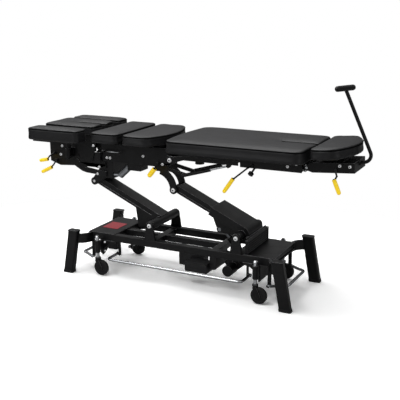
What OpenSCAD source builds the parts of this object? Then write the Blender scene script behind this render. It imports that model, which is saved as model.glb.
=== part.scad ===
// Sectional chiropractic table with a powered parallelogram lift.
// X runs from the head end to the foot end, Y across the table, Z up; the floor is at Z = 0.
// Places along X are measured from the middle of the base, and base_x moves them so that
// the origin lies under the middle of the whole table.

/* [Overall] */
// Reach from the middle of the base to the head end
reach_head = 1010; // [1006:1:1060]
// Reach from the middle of the base to the T handle
reach_foot = 1132; // [1126:1:1150]
// Gap of a part that turns or slides past another
play = 1; // [0.8:0.1:1.5]
// Radial play of a pin in its bore
fit = 0.05; // [0.03:0.01:0.08]

/* [Base] */
// Half the length of the base rails
rail_half = 603; // [590:1:615]
// Height of the top of the base rails
rail_top = 265; // [255:1:275]
// Height of a base rail
rail_h = 45; // [40:1:50]
// Width of a base rail
rail_w = 40; // [34:1:44]
// Distance of a rail's outer face from the middle plane
rail_out = 176; // [172:1:180]
// Wall of the base tubes
tube_wall = 3; // [2:0.5:4]
// Depth of the channel that closes each end of the base
channel_d = 35; // [30:1:40]
// Length of the cover plate at the head end
cover_len = 190; // [170:1:200]
// Thickness of sheet steel covers
sheet = 3; // [2:0.5:4]

/* [Legs] */
// Reach of a leg's foot beyond the end of the rails
leg_foot_out = 145; // [132:1:157]
// Reach of a leg's top beyond the end of the rails
leg_top_out = 94; // [87:1:102]
// Distance of a leg from the middle plane
leg_y = 262; // [256:1:264]
// Height of a leg
leg_h = 292; // [285:1:300]
// Leg size along the table
leg_l = 70; // [60:1:76]
// Leg size across the table
leg_w = 42; // [36:1:46]
// Height of a rubber foot
foot_h = 16; // [12:1:20]
// Height of the bent bar between a leg and the base
outrigger_h = 62; // [55:1:66]
// Thickness of the bent bar
outrigger_t = 12; // [10:1:14]

/* [Castors] */
// Distance of a castor stem from the end of the rails
castor_in = 58; // [51:1:68]
// Distance of a castor stem from the middle plane
castor_y = 225; // [222:1:228]
// Diameter of a castor wheel
wheel_d = 100; // [90:1:104]
// Width of a castor wheel
wheel_w = 26; // [22:1:28]
// Trail of a castor wheel behind its stem
castor_trail = 24; // [18:1:28]
// Radius of a castor stem
stem_r = 11; // [9:0.5:12]
// Lift of the wheels off the floor when the table stands on its feet
wheel_lift = 2; // [1:0.5:4]

/* [Lift] */
// Height of the lower pivots
low_z = 358; // [350:1:366]
// Place of the lower pivot of the head arm
head_low_x = -187; // [-195:1:-180]
// Place of the lower pivot of the foot arm
foot_low_x = 398; // [392:1:402]
// Run of an arm along the table
arm_run = 474; // [460:1:480]
// Rise of an arm
arm_rise = 215; // [200:1:225]
// Half the width of an arm's beam
arm_half_w = 50; // [44:1:52]
// Height of an arm's beam
arm_h = 46; // [40:1:50]
// Part of the beam that lies below the line of its pivots
arm_below = 9; // [6:1:12]
// Radius of the lift pins
pin_r = 11; // [9:0.5:12]
// Radius of the cross tube at the foot of an arm
pivot_tube_r = 28; // [24:1:30]
// Distance of both ends of the lift motor from the pivot of the foot arm
motor_reach = 165; // [160:1:168]
// Radius of the lift motor's outer tube
motor_tube_r = 22; // [20:1:24]
// Radius of the lift motor's rod
motor_rod_r = 14; // [12:0.5:15]

/* [Carriage] */
// Place of the head end of the carriage
carriage_x0 = -560; // [-570:1:-556]
// Place of the foot end of the carriage
carriage_x1 = -85; // [-92:1:-80]
// Height of the underside of the carriage
carriage_z0 = 725; // [718:1:732]
// Height of the top of the carriage
carriage_z1 = 843; // [838:1:845]
// Distance of the carriage's side plates from the middle plane
carriage_y = 114; // [108:1:114]
// Thickness of the steel plates
plate_t = 8; // [6:0.5:10]

/* [Head section] */
// Top of the face cushion
face_top = 947; // [940:1:952]
// Half the width of the face cushion
face_half = 132; // [124:1:138]
// Head end of the face cushion
face_x0 = -1000; // [-1004:1:-990]
// Chest end of the face cushion
face_x1 = -605; // [-612:1:-600]
// Closed end of the breathing slot
face_slot_x = -817; // [-840:1:-800]
// Half the width of the breathing slot
face_slot_half = 22; // [18:1:28]
// Thickness of the face cushion
face_t = 60; // [54:1:66]
// Head end of the armrests
arm_x0 = -1000; // [-1004:1:-990]
// Chest end of the armrests
arm_x1 = -610; // [-620:1:-604]
// Inner side of an armrest
arm_y0 = 182; // [178:1:190]
// Outer side of an armrest
arm_y1 = 303; // [296:1:308]
// Top of the armrests
arm_top = 944; // [940:1:948]
// Thickness of an armrest cushion
arm_t = 82; // [76:1:84]

/* [Chest and pelvis] */
// Head end of the chest cushion
chest_x0 = -560; // [-568:1:-552]
// Foot end of the chest cushion
chest_x1 = -355; // [-360:1:-350]
// Top of the chest cushion
chest_top = 935; // [930:1:940]
// Half the width of the chest and pelvic cushions
chest_half = 254; // [246:1:260]
// Thickness of the chest and pelvic cushions
chest_t = 66; // [60:1:68]
// Head end of the pelvic cushion
pelvic_x0 = -332; // [-336:1:-326]
// Foot end of the pelvic cushion at its corners
pelvic_x1 = -149; // [-154:1:-144]
// Bulge of the pelvic cushion's round end
pelvic_bulge = 80; // [70:1:86]
// Top of the pelvic cushion
pelvic_top = 933; // [928:1:938]
// Drop of the chest and pelvic sections
drop = 13; // [10:0.5:14]

/* [Leg section] */
// Head end of the leg cushion
leg_pad_x0 = -20; // [-26:1:-14]
// Foot end of the leg cushion
leg_pad_x1 = 825; // [815:1:830]
// Half the width of the leg cushion
leg_pad_half = 283; // [276:1:288]
// Top of the leg cushion
leg_pad_top = 930; // [925:1:936]
// Thickness of the leg cushion
leg_pad_t = 78; // [72:1:82]
// Closed end of the slot in the leg cushion
leg_slot_x = 610; // [590:1:630]
// Half the width of the slot in the leg cushion
leg_slot_half = 13; // [10:1:16]
// Place of the flexion hinge
flex_x = -63; // [-68:1:-60]
// Height of the flexion hinge
flex_z = 775; // [772:1:780]
// Place of the upright swing pivot
swing_x = 78; // [72:1:84]
// Foot end of the flexion yoke
yoke_x1 = 386; // [376:1:396]
// Distance of the yoke's side members from the middle plane
yoke_y = 124; // [124:1:130]
// Top of the flexion yoke
yoke_top = 806; // [802:1:808]
// Height of the yoke's side members
yoke_h = 24; // [20:1:26]
// Foot end of the leg frame
leg_frame_x1 = 772; // [764:1:776]

/* [Foot section] */
// Place of the foot tilt hinge
tilt_x = 795; // [792:1:800]
// Height of the foot tilt hinge
tilt_z = 806; // [802:1:808]
// Tilt of the foot section as built
tilt_rest = 4; // [0:0.5:6]
// Head end of the foot cushion
foot_pad_x0 = 850; // [846:1:856]
// Length of the foot cushion at its corners
foot_pad_len = 146; // [138:1:150]
// Bulge of the foot cushion's round end
foot_bulge = 86; // [76:1:90]
// Half the width of the foot cushion
foot_half = 238; // [230:1:244]
// Top of the foot cushion at its head end
foot_top = 938; // [934:1:944]
// Thickness of the foot cushion
foot_t = 65; // [60:1:68]
// Half the width of the foot frame
foot_frame_y = 110; // [100:1:116]

/* [T handle] */
// Radius of the T handle's tube
handle_r = 10; // [9:0.5:11]
// Height of the top of the T handle
handle_top = 1256; // [1240:1:1265]
// Length of the T handle's grip
grip_len = 133; // [120:1:140]
// Radius of the T handle's grip
grip_r = 16; // [14:0.5:18]
// Turn of the grip from the line across the table
grip_turn = 27; // [20:1:34]

/* [Levers and pedals] */
// Radius of a yellow lever grip
lever_grip_r = 11; // [9:0.5:12]
// Radius of a lever's rod
lever_rod_r = 5; // [4:0.5:6]
// Radius of the chrome pedal tubes
pedal_r = 9; // [7:0.5:10]
// Height of the pedal tubes
pedal_z = 105; // [98:1:112]

/* [Hidden] */
$fn = 48;
black = "#1c1c1e";
vinyl = "#2a2a2c";
rubber = "#121212";
chrome = "#c8ccd0";
zinc = "#8d9094";
yellow = "#f6d21f";
eps = 0.5;
base_x = (reach_head - reach_foot) / 2;
soft_gap = 0.3;

// Base and legs
rail_y = rail_out - rail_w / 2;
rail_in = rail_out - rail_w;
rail_z0 = rail_top - rail_h;
corner_r = 4;
spine_half = 18;
spine_h = 38;
end_x = rail_half + channel_d;
leg_foot_x = rail_half + leg_foot_out;
leg_top_x = rail_half + leg_top_out;
spine_foot_x = 240;
lean = atan((leg_foot_x - leg_top_x) / (leg_h - foot_h));
leg_r = 9;
cap_t = 8;
arc_r = leg_top_out - channel_d / 2;

// Castors
castor_x = rail_half - castor_in;
sleeve_r = 17;
sleeve_z0 = 150;
stem_top = 264;
cap_r = 15;
fork_top = 118;
brace_t = 8;
axle_r = 6;
wheel_z = wheel_d / 2 + wheel_lift;
castor_ends = [[-1, -1], [-1, 1], [1, -1], [1, 1]];

// Pedals
bar_in = 113;
bar_out = 49;
bar_x0 = bar_in - rail_half;
bar_x1 = foot_low_x + bar_out;
bar_y_out = 205;
bar_y_in = 75;
bend_r = 30;
hanger_t = 8;
pedal_pin_r = 4;
pedal_eye_r = 11;
head_hanger_x = bar_x0 + pedal_r + play;
foot_hanger_x = bar_x1 - pedal_r - play - hanger_t;

// Lift
head_low = [head_low_x, low_z];
foot_low = [foot_low_x, low_z];
arm_v = [-arm_run, arm_rise];
arm_len = norm(arm_v);
arm_angle = atan2(arm_rise, arm_run);
head_up = head_low + arm_v;
foot_up = foot_low + arm_v;
bracket_t = 12;
bracket_in = rail_out - bracket_t;
bolt_r = 13;
bolt_h = 7;
bolt_share = 0.6;
eye_r = 25;
gusset_t = 6;
hood_z = 50;
motor_turn = 261;
motor_pivot = foot_low + motor_reach * [cos(motor_turn), sin(motor_turn)];
rod_pivot = foot_low - [motor_reach, 0];
motor_line = rod_pivot - motor_pivot;
motor_len = norm(motor_line);
motor_lean = atan2(motor_line[1], motor_line[0]);
motor_tube_len = 140;
motor_eye_r = 18;
motor_eye_half = 16;
rod_len = 139;

// Carriage and head
post_x0 = -600;
post_x1 = -495;
post_z0 = 612;
post_half = 92;
arms_y = post_half + plate_t;
tray_t = 8;
guide_r = 12;
head_pin_x = -876;
head_pin_z = 795;
cheek_y = 84;

// Cushions
pad_r = 42;
soft_r = 34;
crown = 6;

function flip(p) = [p[0], -p[1]];
function outline(shares, x0, z0, w, h) = [for (s = shares) [x0 + s[0] * w, z0 + s[1] * h]];
function turned(p, o, a) = [o[0] + (p[0] - o[0]) * cos(a) - (p[1] - o[1]) * sin(a),
    o[1] + (p[0] - o[0]) * sin(a) + (p[1] - o[1]) * cos(a)];

module at_base() {
    translate([base_x, 0, 0]) children();
}

// Extrudes an outline drawn in X and Z from y0 to y1
module side_plate(y0, y1) {
    translate([0, y1, 0]) rotate([90, 0, 0]) linear_extrude(y1 - y0) children();
}

// The same plate on both sides of the middle plane
module side_pair(y0, y1) {
    side_plate(y0, y1) children();
    side_plate(-y1, -y0) children();
}

module bar_y(p, r, y0, y1) {
    translate([p[0], y0, p[1]]) rotate([-90, 0, 0]) cylinder(r = r, h = y1 - y0);
}

module rod(p, q, r) {
    d = q - p;
    translate(p) rotate([0, acos(d[2] / norm(d)), atan2(d[1], d[0])]) cylinder(r = r, h = norm(d));
}

// A rod with round ends that reach r past p and q
module grip(p, q, r) {
    d = q - p;
    len_d = norm(d);
    translate(p) rotate([0, acos(d[2] / len_d), atan2(d[1], d[0])]) rotate_extrude() intersection() {
        union() {
            circle(r = r);
            translate([0, len_d]) circle(r = r);
            translate([-r, 0]) square([2 * r, len_d]);
        }
        translate([0, -2 * r]) square([2 * r, len_d + 4 * r]);
    }
}

// A bent rod through a list of points, slightly swollen at each bend
bend_swell = 0.4;
module bent_rod(points, r) {
    for (i = [0 : len(points) - 2]) rod(points[i], points[i + 1], r);
    for (i = [1 : len(points) - 2]) translate(points[i]) sphere(r = r + bend_swell);
}

module round_rect(w, h, r) {
    square([w - 2 * r, h], center = true);
    square([w, h - 2 * r], center = true);
    for (sx = [-1, 1], sy = [-1, 1]) translate([sx * (w / 2 - r), sy * (h / 2 - r)]) circle(r = r);
}

// A plate outline with round ends between two points
module link_2d(p, q, r) {
    d = q - p;
    translate(p) circle(r = r);
    translate(q) circle(r = r);
    translate(p) rotate(atan2(d[1], d[0])) translate([0, -r]) square([norm(d), 2 * r]);
}

// A domed bolt head that stands out of a side face, s is the side it faces
module bolt_y(p, y, s, r) {
    translate([p[0], y, p[1]]) rotate([-90 * s, 0, 0]) {
        cylinder(r = r, h = bolt_h / 2);
        translate([0, 0, bolt_h / 2]) cylinder(r1 = r, r2 = r * bolt_share, h = bolt_h / 2);
    }
}

// Sweeps square rings of the same count of points into one closed solid
module loft(rings) {
    n = len(rings[0]);
    m = len(rings);
    points = [for (ring = rings) for (p = ring) p];
    sides = [for (i = [0 : m - 2]) for (k = [0 : n - 1])
        let(a = i * n + k, b = i * n + (k + 1) % n)
        each [[a, b + n, b], [a, a + n, b + n]]];
    caps = [[for (k = [0 : n - 1]) k], [for (k = [0 : n - 1]) m * n - 1 - k]];
    polyhedron(points = points, faces = concat(sides, caps), convexity = 4);
}

// Outline of a pad with rounded corners and bulging ends, drawn in by i
corner_steps = 5;
edge_steps = 8;
function pad_corner(cx, cy, r, a0) = [for (k = [0 : corner_steps])
    let(a = a0 + 90 * k / corner_steps) [cx + r * cos(a), cy + r * sin(a)]];
function pad_edge(x, y0, y1) = [for (k = [1 : edge_steps - 1]) [x, y0 + (y1 - y0) * k / edge_steps]];
function pad_bend(p, mid, half, b0, b1) =
    [p[0] + (p[0] > mid ? b1 : -b0) * (1 - pow(p[1] / half, 2)), p[1]];
function pad_ring(x0, x1, y0, y1, r, b0, b1, i) =
    let(cy = (y0 + y1) / 2, half = (y1 - y0) / 2, h = half - r, q = r - i, mid = (x0 + x1) / 2,
        flat = concat(
            pad_corner(x1 - r, -h, q, -90),
            pad_edge(x1 - i, -h, h),
            pad_corner(x1 - r, h, q, 0),
            pad_corner(x0 + r, h, q, 90),
            pad_edge(x0 + i, h, -h),
            pad_corner(x0 + r, -h, q, 180)))
    [for (p = flat) let(b = pad_bend(p, mid, half, b0, b1)) [b[0], b[1] + cy]];

// Draw-in and height of the rings up the side of a cushion, as shares of edge_in and thickness
edge_in = 7;
side_in_shares = [0.7, 0.15, 0, 0.22, 0.3, 0.22, 0, 0.25, 0.9];
side_z_shares = [0, 0.06, 0.16, 0.36, 0.52, 0.68, 0.85, 0.94, 0.985];
crown_shares = [0.12, 0.3, 0.55, 0.8];

module cushion(x0, x1, y0, y1, r, b0, b1, z0, z1) {
    t = z1 - z0 - crown;
    mid = [(x0 + x1) / 2, (y0 + y1) / 2];
    top = pad_ring(x0, x1, y0, y1, r, b0, b1, edge_in);
    sides = [for (k = [0 : len(side_in_shares) - 1])
        [for (p = pad_ring(x0, x1, y0, y1, r, b0, b1, edge_in * side_in_shares[k]))
            [p[0], p[1], z0 + t * side_z_shares[k]]]];
    crowns = [for (s = crown_shares) [for (p = top) let(q = p + (mid - p) * s)
        [q[0], q[1], z0 + t + crown * (1 - pow(1 - s, 2))]]];
    loft(concat(sides, crowns));
}

// Ring across one limb of a slotted cushion, from its outer point o to its slot point s
limb_top_shares = [0.2, 0.5, 0.8];
function limb_ring(o, s, z0, z1) =
    let(u = (s - o) / norm(s - o), w = norm(s - o), t = z1 - z0 - crown, n = len(side_in_shares))
    concat(
        [for (k = [0 : n - 1]) let(p = o + u * edge_in * side_in_shares[k])
            [p[0], p[1], z0 + t * side_z_shares[k]]],
        [for (f = limb_top_shares) let(p = o + u * w * f)
            [p[0], p[1], z0 + t + crown * 4 * f * (1 - f)]],
        [for (k = [n - 1 : -1 : 0]) let(p = s - u * edge_in * side_in_shares[k])
            [p[0], p[1], z0 + t * side_z_shares[k]]]);

// A cushion with a slot that is open at one end; its closed end bulges outwards.
// Half of the outline runs from the open end round the corners to the middle of the closed end.
slot_steps = 5;
end_steps = 6;
end_round = 6;
function end_in(far) = end_round * (1 - sqrt(1 - pow(1 - min(1, far / end_round), 2)));
module slotted_cushion(closed_x, open_x, half, r, bulge, slot_x, slot_half, z0, z1) {
    d = sign(open_x - closed_x);
    slot_c = slot_x + d * slot_half;
    open_o = [for (k = [0 : corner_steps]) let(a = 90 * (1 - k / corner_steps))
        [open_x - d * r * (1 - sin(a)), half - r + r * cos(a)]];
    side_o = [for (k = [1 : slot_steps]) let(x0 = open_x - d * r)
        [x0 + (slot_c - x0) * k / slot_steps, half]];
    round_o = concat(
        [for (k = [0 : corner_steps]) let(a = 90 * k / corner_steps)
            [closed_x + d * r * (1 - sin(a)), half - r + r * cos(a)]],
        [for (k = [1 : end_steps]) [closed_x, (half - r) * (1 - k / end_steps)]]);
    n = len(round_o);
    bent_o = [for (p = round_o) [p[0] - d * bulge * (1 - pow(p[1] / half, 2)), p[1]]];
    round_s = [for (k = [0 : n - 1]) let(a = 90 * k / (n - 1))
        [slot_c - d * slot_half * sin(a), slot_half * cos(a)]];
    half_o = concat(open_o, side_o, bent_o);
    half_s = concat([for (p = concat(open_o, side_o)) [p[0], slot_half]], round_s);
    m = len(half_o);
    all_o = concat(half_o, [for (k = [m - 2 : -1 : 0]) flip(half_o[k])]);
    all_s = concat(half_s, [for (k = [m - 2 : -1 : 0]) flip(half_s[k])]);
    rings = [for (k = [0 : len(all_o) - 1]) let(e = end_in(abs(open_x - all_o[k][0])))
        limb_ring(all_o[k], all_s[k], z0 + e, z1 - e)];
    loft(d < 0 ? rings : [for (k = [len(rings) - 1 : -1 : 0]) rings[k]]);
}

// Base

module rail(side) {
    color(black) at_base() translate([-rail_half, side * rail_y, rail_top - rail_h / 2])
        rotate([90, 0, 90]) linear_extrude(2 * rail_half) difference() {
            round_rect(rail_w, rail_h, corner_r);
            round_rect(rail_w - 2 * tube_wall, rail_h - 2 * tube_wall, corner_r - tube_wall / 2);
        }
}
module near_rail() { rail(-1); }
module far_rail() { rail(1); }

cross_x = [head_hanger_x + hanger_t / 2, head_low_x, spine_foot_x, foot_low_x, foot_low_x + rail_w];
clevis_t = 6;
module end_channel(s) {
    wall = 2 * tube_wall;
    translate([s > 0 ? rail_half : -end_x, -rail_out, rail_z0]) difference() {
        cube([channel_d, 2 * rail_out, rail_h]);
        translate([s > 0 ? wall : -wall, wall, wall])
            cube([channel_d, 2 * rail_out - 2 * wall, rail_h - 2 * wall]);
    }
}
module cross_members() {
    color(black) at_base() {
        for (s = [-1, 1]) end_channel(s);
        translate([-rail_half, -spine_half, rail_z0])
            cube([rail_half + spine_foot_x, 2 * spine_half, spine_h]);
        for (x = cross_x) translate([x - rail_w / 2, -rail_in, rail_z0])
            cube([rail_w, 2 * rail_in, spine_h]);
        motor_clevis();
        pedal_hangers();
    }
}
// Lugs under the foot cross tube that hold the lift motor
module motor_clevis() {
    y0 = motor_eye_half + play;
    side_pair(y0, y0 + clevis_t) union() {
        translate(motor_pivot) circle(r = motor_eye_r);
        polygon([[motor_pivot[0] - motor_eye_r, motor_pivot[1]],
            [foot_low_x - rail_w / 2, rail_z0 + corner_r],
            [foot_low_x + rail_w / 2, rail_z0 + corner_r],
            [motor_pivot[0] + motor_eye_r, motor_pivot[1]]]);
    }
    bar_y(motor_pivot, pin_r, -y0 - clevis_t, y0 + clevis_t);
}

module leg_post(z0, z1, grow) {
    intersection() {
        translate([leg_foot_x, leg_y, 0]) rotate([0, -lean, 0]) translate([0, 0, -leg_h])
            linear_extrude(3 * leg_h) round_rect(leg_l * cos(lean) + grow, leg_w + grow, leg_r);
        translate([0, 0, z0]) cube([2 * leg_foot_x, 2 * leg_foot_x, z1 - z0]);
    }
}
// Quarter turn of flat bar from the end of the base to the leg
module outrigger() {
    translate([leg_top_x, rail_out, rail_top - outrigger_h]) rotate([0, 0, 90])
        rotate_extrude(angle = 90) translate([arc_r - outrigger_t / 2, 0]) square([outrigger_t, outrigger_h]);
}
module leg(k) {
    e = castor_ends[k];
    color(black) at_base() mirror([e[0] < 0 ? 1 : 0, 0, 0]) mirror([0, e[1] < 0 ? 1 : 0, 0]) {
        leg_post(foot_h, leg_h - cap_t, 0);
        leg_post(leg_h - cap_t, leg_h, cap_t / 2);
        outrigger();
    }
}
module leg_1() { leg(0); }
module leg_2() { leg(1); }
module leg_3() { leg(2); }
module leg_4() { leg(3); }
module rubber_feet() {
    color(rubber) at_base() for (sx = [0, 1], sy = [0, 1])
        mirror([sx, 0, 0]) mirror([0, sy, 0]) leg_post(0, foot_h, foot_h / 4);
}

// A pair of standing plates on the rails with the lift pin between them
module pivot_brackets(x, half_w) {
    side_pair(bracket_in, rail_out) union() {
        translate([x, low_z]) circle(r = eye_r);
        polygon([[x - half_w, rail_top], [x - eye_r, low_z], [x + eye_r, low_z], [x + half_w, rail_top]]);
    }
    bar_y([x, low_z], pin_r, -bracket_in - bracket_t / 2, bracket_in + bracket_t / 2);
    for (s = [-1, 1]) bolt_y([x, low_z], s * rail_out, s, bolt_r);
}
bracket_half = 38;
module head_pivot_brackets() { color(black) at_base() pivot_brackets(head_low_x, bracket_half); }
module foot_pivot_brackets() { color(black) at_base() pivot_brackets(foot_low_x, bracket_half); }

// Cover plates over both ends of the base, with a turned down edge; one reaches under the guard
cover_lip = 6;
module base_cover(s) {
    x0 = s > 0 ? guard_x - cover_lip : -end_x;
    translate([x0, -rail_out, rail_top]) cube([s > 0 ? end_x - x0 : cover_len, 2 * rail_out, sheet]);
    translate([s > 0 ? end_x : -end_x - sheet, -rail_out, rail_top - rail_h / 2])
        cube([sheet, 2 * rail_out, rail_h / 2 + sheet]);
}
module base_covers() {
    color(black) at_base() for (s = [-1, 1]) base_cover(s);
}

// Slatted guard on the foot side of the lift
guard_x = foot_low_x + hood_z + sheet + 3 * play;
guard_top = 350;
slat_w = 14;
slat_t = 2.5;
slat_turn = 35;
slat_count = 6;
slat_low_share = 0.67;
module louvre_guard() {
    half = bracket_in - play;
    z0 = rail_top + sheet;
    pitch = (guard_top - z0) / slat_count;
    color(black) at_base() {
        translate([guard_x, -half, z0]) cube([sheet, 2 * half, guard_top - z0]);
        for (k = [0 : slat_count - 1])
            translate([guard_x + sheet / 2, -half, z0 + pitch * (k + slat_low_share)])
                rotate([0, slat_turn, 0]) cube([slat_w, 2 * half, slat_t]);
        for (s = [-1, 1]) translate([guard_x, s > 0 ? half - sheet : -half, z0])
            cube([slat_w + sheet, sheet, guard_top - z0]);
    }
}

// Control boxes with a socket for the mains cord, hung under the spine
box_x0 = 39;
box_x1 = 188;
box_z0 = 91;
box_z1 = 151;
box_y0 = -140;
box_mid_y = -50;
supply_x0 = -48;
supply_x1 = 125;
supply_z1 = 184;
inlet_d = 14;
inlet_h = 20;
inlet_w = 28;
inlet_r = 3;
module control_box() {
    color(black) at_base() difference() {
        union() {
            translate([box_x0, box_y0, box_z0]) cube([box_x1 - box_x0, box_mid_y - box_y0, box_z1 - box_z0]);
            translate([supply_x0, box_mid_y, box_z0])
                cube([supply_x1 - supply_x0, spine_half - box_mid_y, supply_z1 - box_z0]);
            for (x = [supply_x0, supply_x1 - spine_half]) translate([x, -spine_half, supply_z1])
                cube([spine_half, 2 * spine_half, rail_z0 - supply_z1]);
        }
        translate([supply_x0 - eps, -spine_half, (box_z0 + supply_z1) / 2]) rotate([0, 90, 0])
            linear_extrude(inlet_d) round_rect(inlet_h, inlet_w, inlet_r);
    }
}

// Castors

brace_len = 110;
brace_shares = [[0, 1], [0, 0], [0.12, 0], [0.3, 0.45], [0.6, 0.75], [1, 0.85], [1, 1]];
brace_z0 = 130;
sleeve_top = 230;
arm_half = 7;
module castor_mount() {
    y0 = rail_out - brace_t;
    side_plate(y0, rail_out)
        polygon(outline(brace_shares, -castor_x - stem_r, brace_z0, brace_len, rail_z0 - brace_z0));
    difference() {
        union() {
            translate([-castor_x, castor_y, sleeve_z0]) cylinder(r = sleeve_r, h = sleeve_top - sleeve_z0);
            translate([-castor_x - arm_half, rail_out, sleeve_z0 + arm_half])
                cube([2 * arm_half, castor_y - rail_out, rail_z0 - sleeve_z0 - arm_half]);
        }
        translate([-castor_x, castor_y, sleeve_z0 - eps]) cylinder(r = stem_r + fit, h = leg_h);
    }
}
module castor_mounts() {
    color(black) at_base() for (sx = [0, 1], sy = [0, 1])
        mirror([sx, 0, 0]) mirror([0, sy, 0]) castor_mount();
}
module castor_stem(sx, sy) {
    translate([sx * castor_x, sy * castor_y, 0]) {
        translate([0, 0, fork_top]) cylinder(r = stem_r, h = stem_top - cap_r - fork_top);
        translate([0, 0, fork_top - crown_t]) cylinder(r = axle_r, h = crown_t);
        translate([0, 0, stem_top - cap_r]) cylinder(r = cap_r, h = cap_r / 2);
        translate([0, 0, stem_top - cap_r / 2]) cylinder(r1 = cap_r, r2 = cap_r * bolt_share, h = cap_r / 2);
    }
}
module head_castor_stems() { color(chrome) at_base() for (s = [-1, 1]) castor_stem(-1, s); }
module foot_castor_stems() { color(chrome) at_base() for (s = [-1, 1]) castor_stem(1, s); }

crown_t = 10;
fork_r = 19;
cheek_t = 3;
module castor_fork(k) {
    e = castor_ends[k];
    half = wheel_w / 2 + play;
    color(black) at_base() translate([e[0] * castor_x, e[1] * castor_y, 0]) {
        difference() {
            translate([0, 0, fork_top - crown_t]) cylinder(r = fork_r, h = crown_t);
            translate([0, 0, fork_top - crown_t - eps]) cylinder(r = axle_r + fit, h = 2 * crown_t);
        }
        side_pair(half, half + cheek_t) union() {
            link_2d([castor_trail, wheel_z], [0, fork_top - fork_r], 2 * axle_r);
            translate([-axle_r, fork_top - fork_r]) square([2 * axle_r, fork_r]);
        }
        bar_y([castor_trail, wheel_z], axle_r, -half - cheek_t, half + cheek_t);
    }
}
module castor_fork_1() { castor_fork(0); }
module castor_fork_2() { castor_fork(1); }
module castor_fork_3() { castor_fork(2); }
module castor_fork_4() { castor_fork(3); }

tyre_round = 6;
hub_in = 3;
hub_r0 = 22;
hub_r1 = 34;
module castor_wheel(k) {
    e = castor_ends[k];
    r = wheel_d / 2;
    color(rubber) at_base() translate([e[0] * castor_x + castor_trail, e[1] * castor_y, wheel_z])
        rotate([90, 0, 0]) rotate_extrude() difference() {
            union() {
                translate([axle_r + fit, -wheel_w / 2]) square([r - tyre_round - axle_r - fit, wheel_w]);
                translate([r / 2, tyre_round - wheel_w / 2]) square([r / 2, wheel_w - 2 * tyre_round]);
                for (s = [-1, 1]) translate([r - tyre_round, s * (wheel_w / 2 - tyre_round)])
                    circle(r = tyre_round);
            }
            for (s = [-1, 1]) translate([hub_r0, s * wheel_w / 2 - hub_in])
                square([hub_r1 - hub_r0, 2 * hub_in]);
        }
}
module castor_wheel_1() { castor_wheel(0); }
module castor_wheel_2() { castor_wheel(1); }
module castor_wheel_3() { castor_wheel(2); }
module castor_wheel_4() { castor_wheel(3); }

// Chrome pedals

// Quarter bend of tube, its centre at c and its first end at angle a
module tube_bend(c, a, r) {
    translate([c[0], c[1], pedal_z]) rotate([0, 0, a]) rotate_extrude(angle = 90)
        translate([r, 0]) circle(r = pedal_r);
}
module foot_bar(sy) {
    color(chrome) at_base() rotate([sy < 0 ? 180 : 0, 0, 0]) translate([0, 0, sy < 0 ? -2 * pedal_z : 0]) {
        rod([bar_x0 + bend_r, bar_y_out, pedal_z], [bar_x1 - bend_r, bar_y_out, pedal_z], pedal_r);
        tube_bend([bar_x0 + bend_r, bar_y_out - bend_r], 90, bend_r);
        tube_bend([bar_x1 - bend_r, bar_y_out - bend_r], 0, bend_r);
        for (x = [bar_x0, bar_x1]) {
            rod([x, bar_y_in + pedal_eye_r - play, pedal_z], [x, bar_y_out - bend_r, pedal_z], pedal_r);
            difference() {
                rod([x - pedal_r, bar_y_in, pedal_z], [x + pedal_r, bar_y_in, pedal_z], pedal_eye_r);
                rod([x - 2 * pedal_r, bar_y_in, pedal_z], [x + 2 * pedal_r, bar_y_in, pedal_z],
                    pedal_pin_r + fit);
            }
        }
    }
}
module near_foot_bar() { foot_bar(-1); }
module far_foot_bar() { foot_bar(1); }

loop_pin_out = 9;
loop_out = 112;
loop_pin_x = rail_half + loop_pin_out;
loop_x = rail_half + loop_out;
loop_y = 150;
loop_arm_y = 188;
module loop_bar(sx) {
    bend = [loop_x - bend_r, loop_y - bend_r];
    color(chrome) at_base() mirror([sx < 0 ? 1 : 0, 0, 0]) {
        rod([loop_x, -bend[1], pedal_z], [loop_x, bend[1], pedal_z], pedal_r);
        tube_bend(bend, 0, bend_r);
        tube_bend(flip(bend), -90, bend_r);
        for (s = [-1, 1]) {
            rod([bend[0], s * loop_y, pedal_z],
                [loop_pin_x + pedal_eye_r - play, s * loop_arm_y, pedal_z], pedal_r);
            translate([bend[0], s * loop_y, pedal_z]) sphere(r = pedal_r);
            y0 = loop_arm_y - pedal_r;
            difference() {
                bar_y([loop_pin_x, pedal_z], pedal_eye_r,
                    s > 0 ? y0 : -y0 - 2 * pedal_r, s > 0 ? y0 + 2 * pedal_r : -y0);
                bar_y([loop_pin_x, pedal_z], pedal_pin_r + fit, -2 * loop_arm_y, 2 * loop_arm_y);
            }
        }
    }
}
module head_loop_bar() { loop_bar(-1); }
module foot_loop_bar() { loop_bar(1); }

// Hangers and pins that carry the pedals, part of the base frame
module pedal_hangers() {
    for (x = [head_hanger_x, foot_hanger_x], s = [-1, 1]) {
        translate([x, s * bar_y_in - pedal_eye_r, pedal_z - pedal_eye_r])
            cube([hanger_t, 2 * pedal_eye_r, rail_z0 - pedal_z + pedal_eye_r + corner_r]);
        rod([x < 0 ? bar_x0 - pedal_r : x, s * bar_y_in, pedal_z],
            [x < 0 ? x + hanger_t : bar_x1 + pedal_r, s * bar_y_in, pedal_z], pedal_pin_r);
    }
    for (sx = [0, 1], sy = [0, 1]) mirror([sx, 0, 0]) mirror([0, sy, 0]) {
        side_plate(rail_out - hanger_t, rail_out) union() {
            translate([loop_pin_x, pedal_z]) circle(r = pedal_eye_r);
            translate([loop_pin_x - pedal_eye_r, pedal_z]) square([2 * pedal_eye_r, rail_z0 - pedal_z]);
        }
        bar_y([loop_pin_x, pedal_z], pedal_pin_r, rail_out - hanger_t, loop_arm_y + pedal_r);
    }
}

// Lift arms

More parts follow.
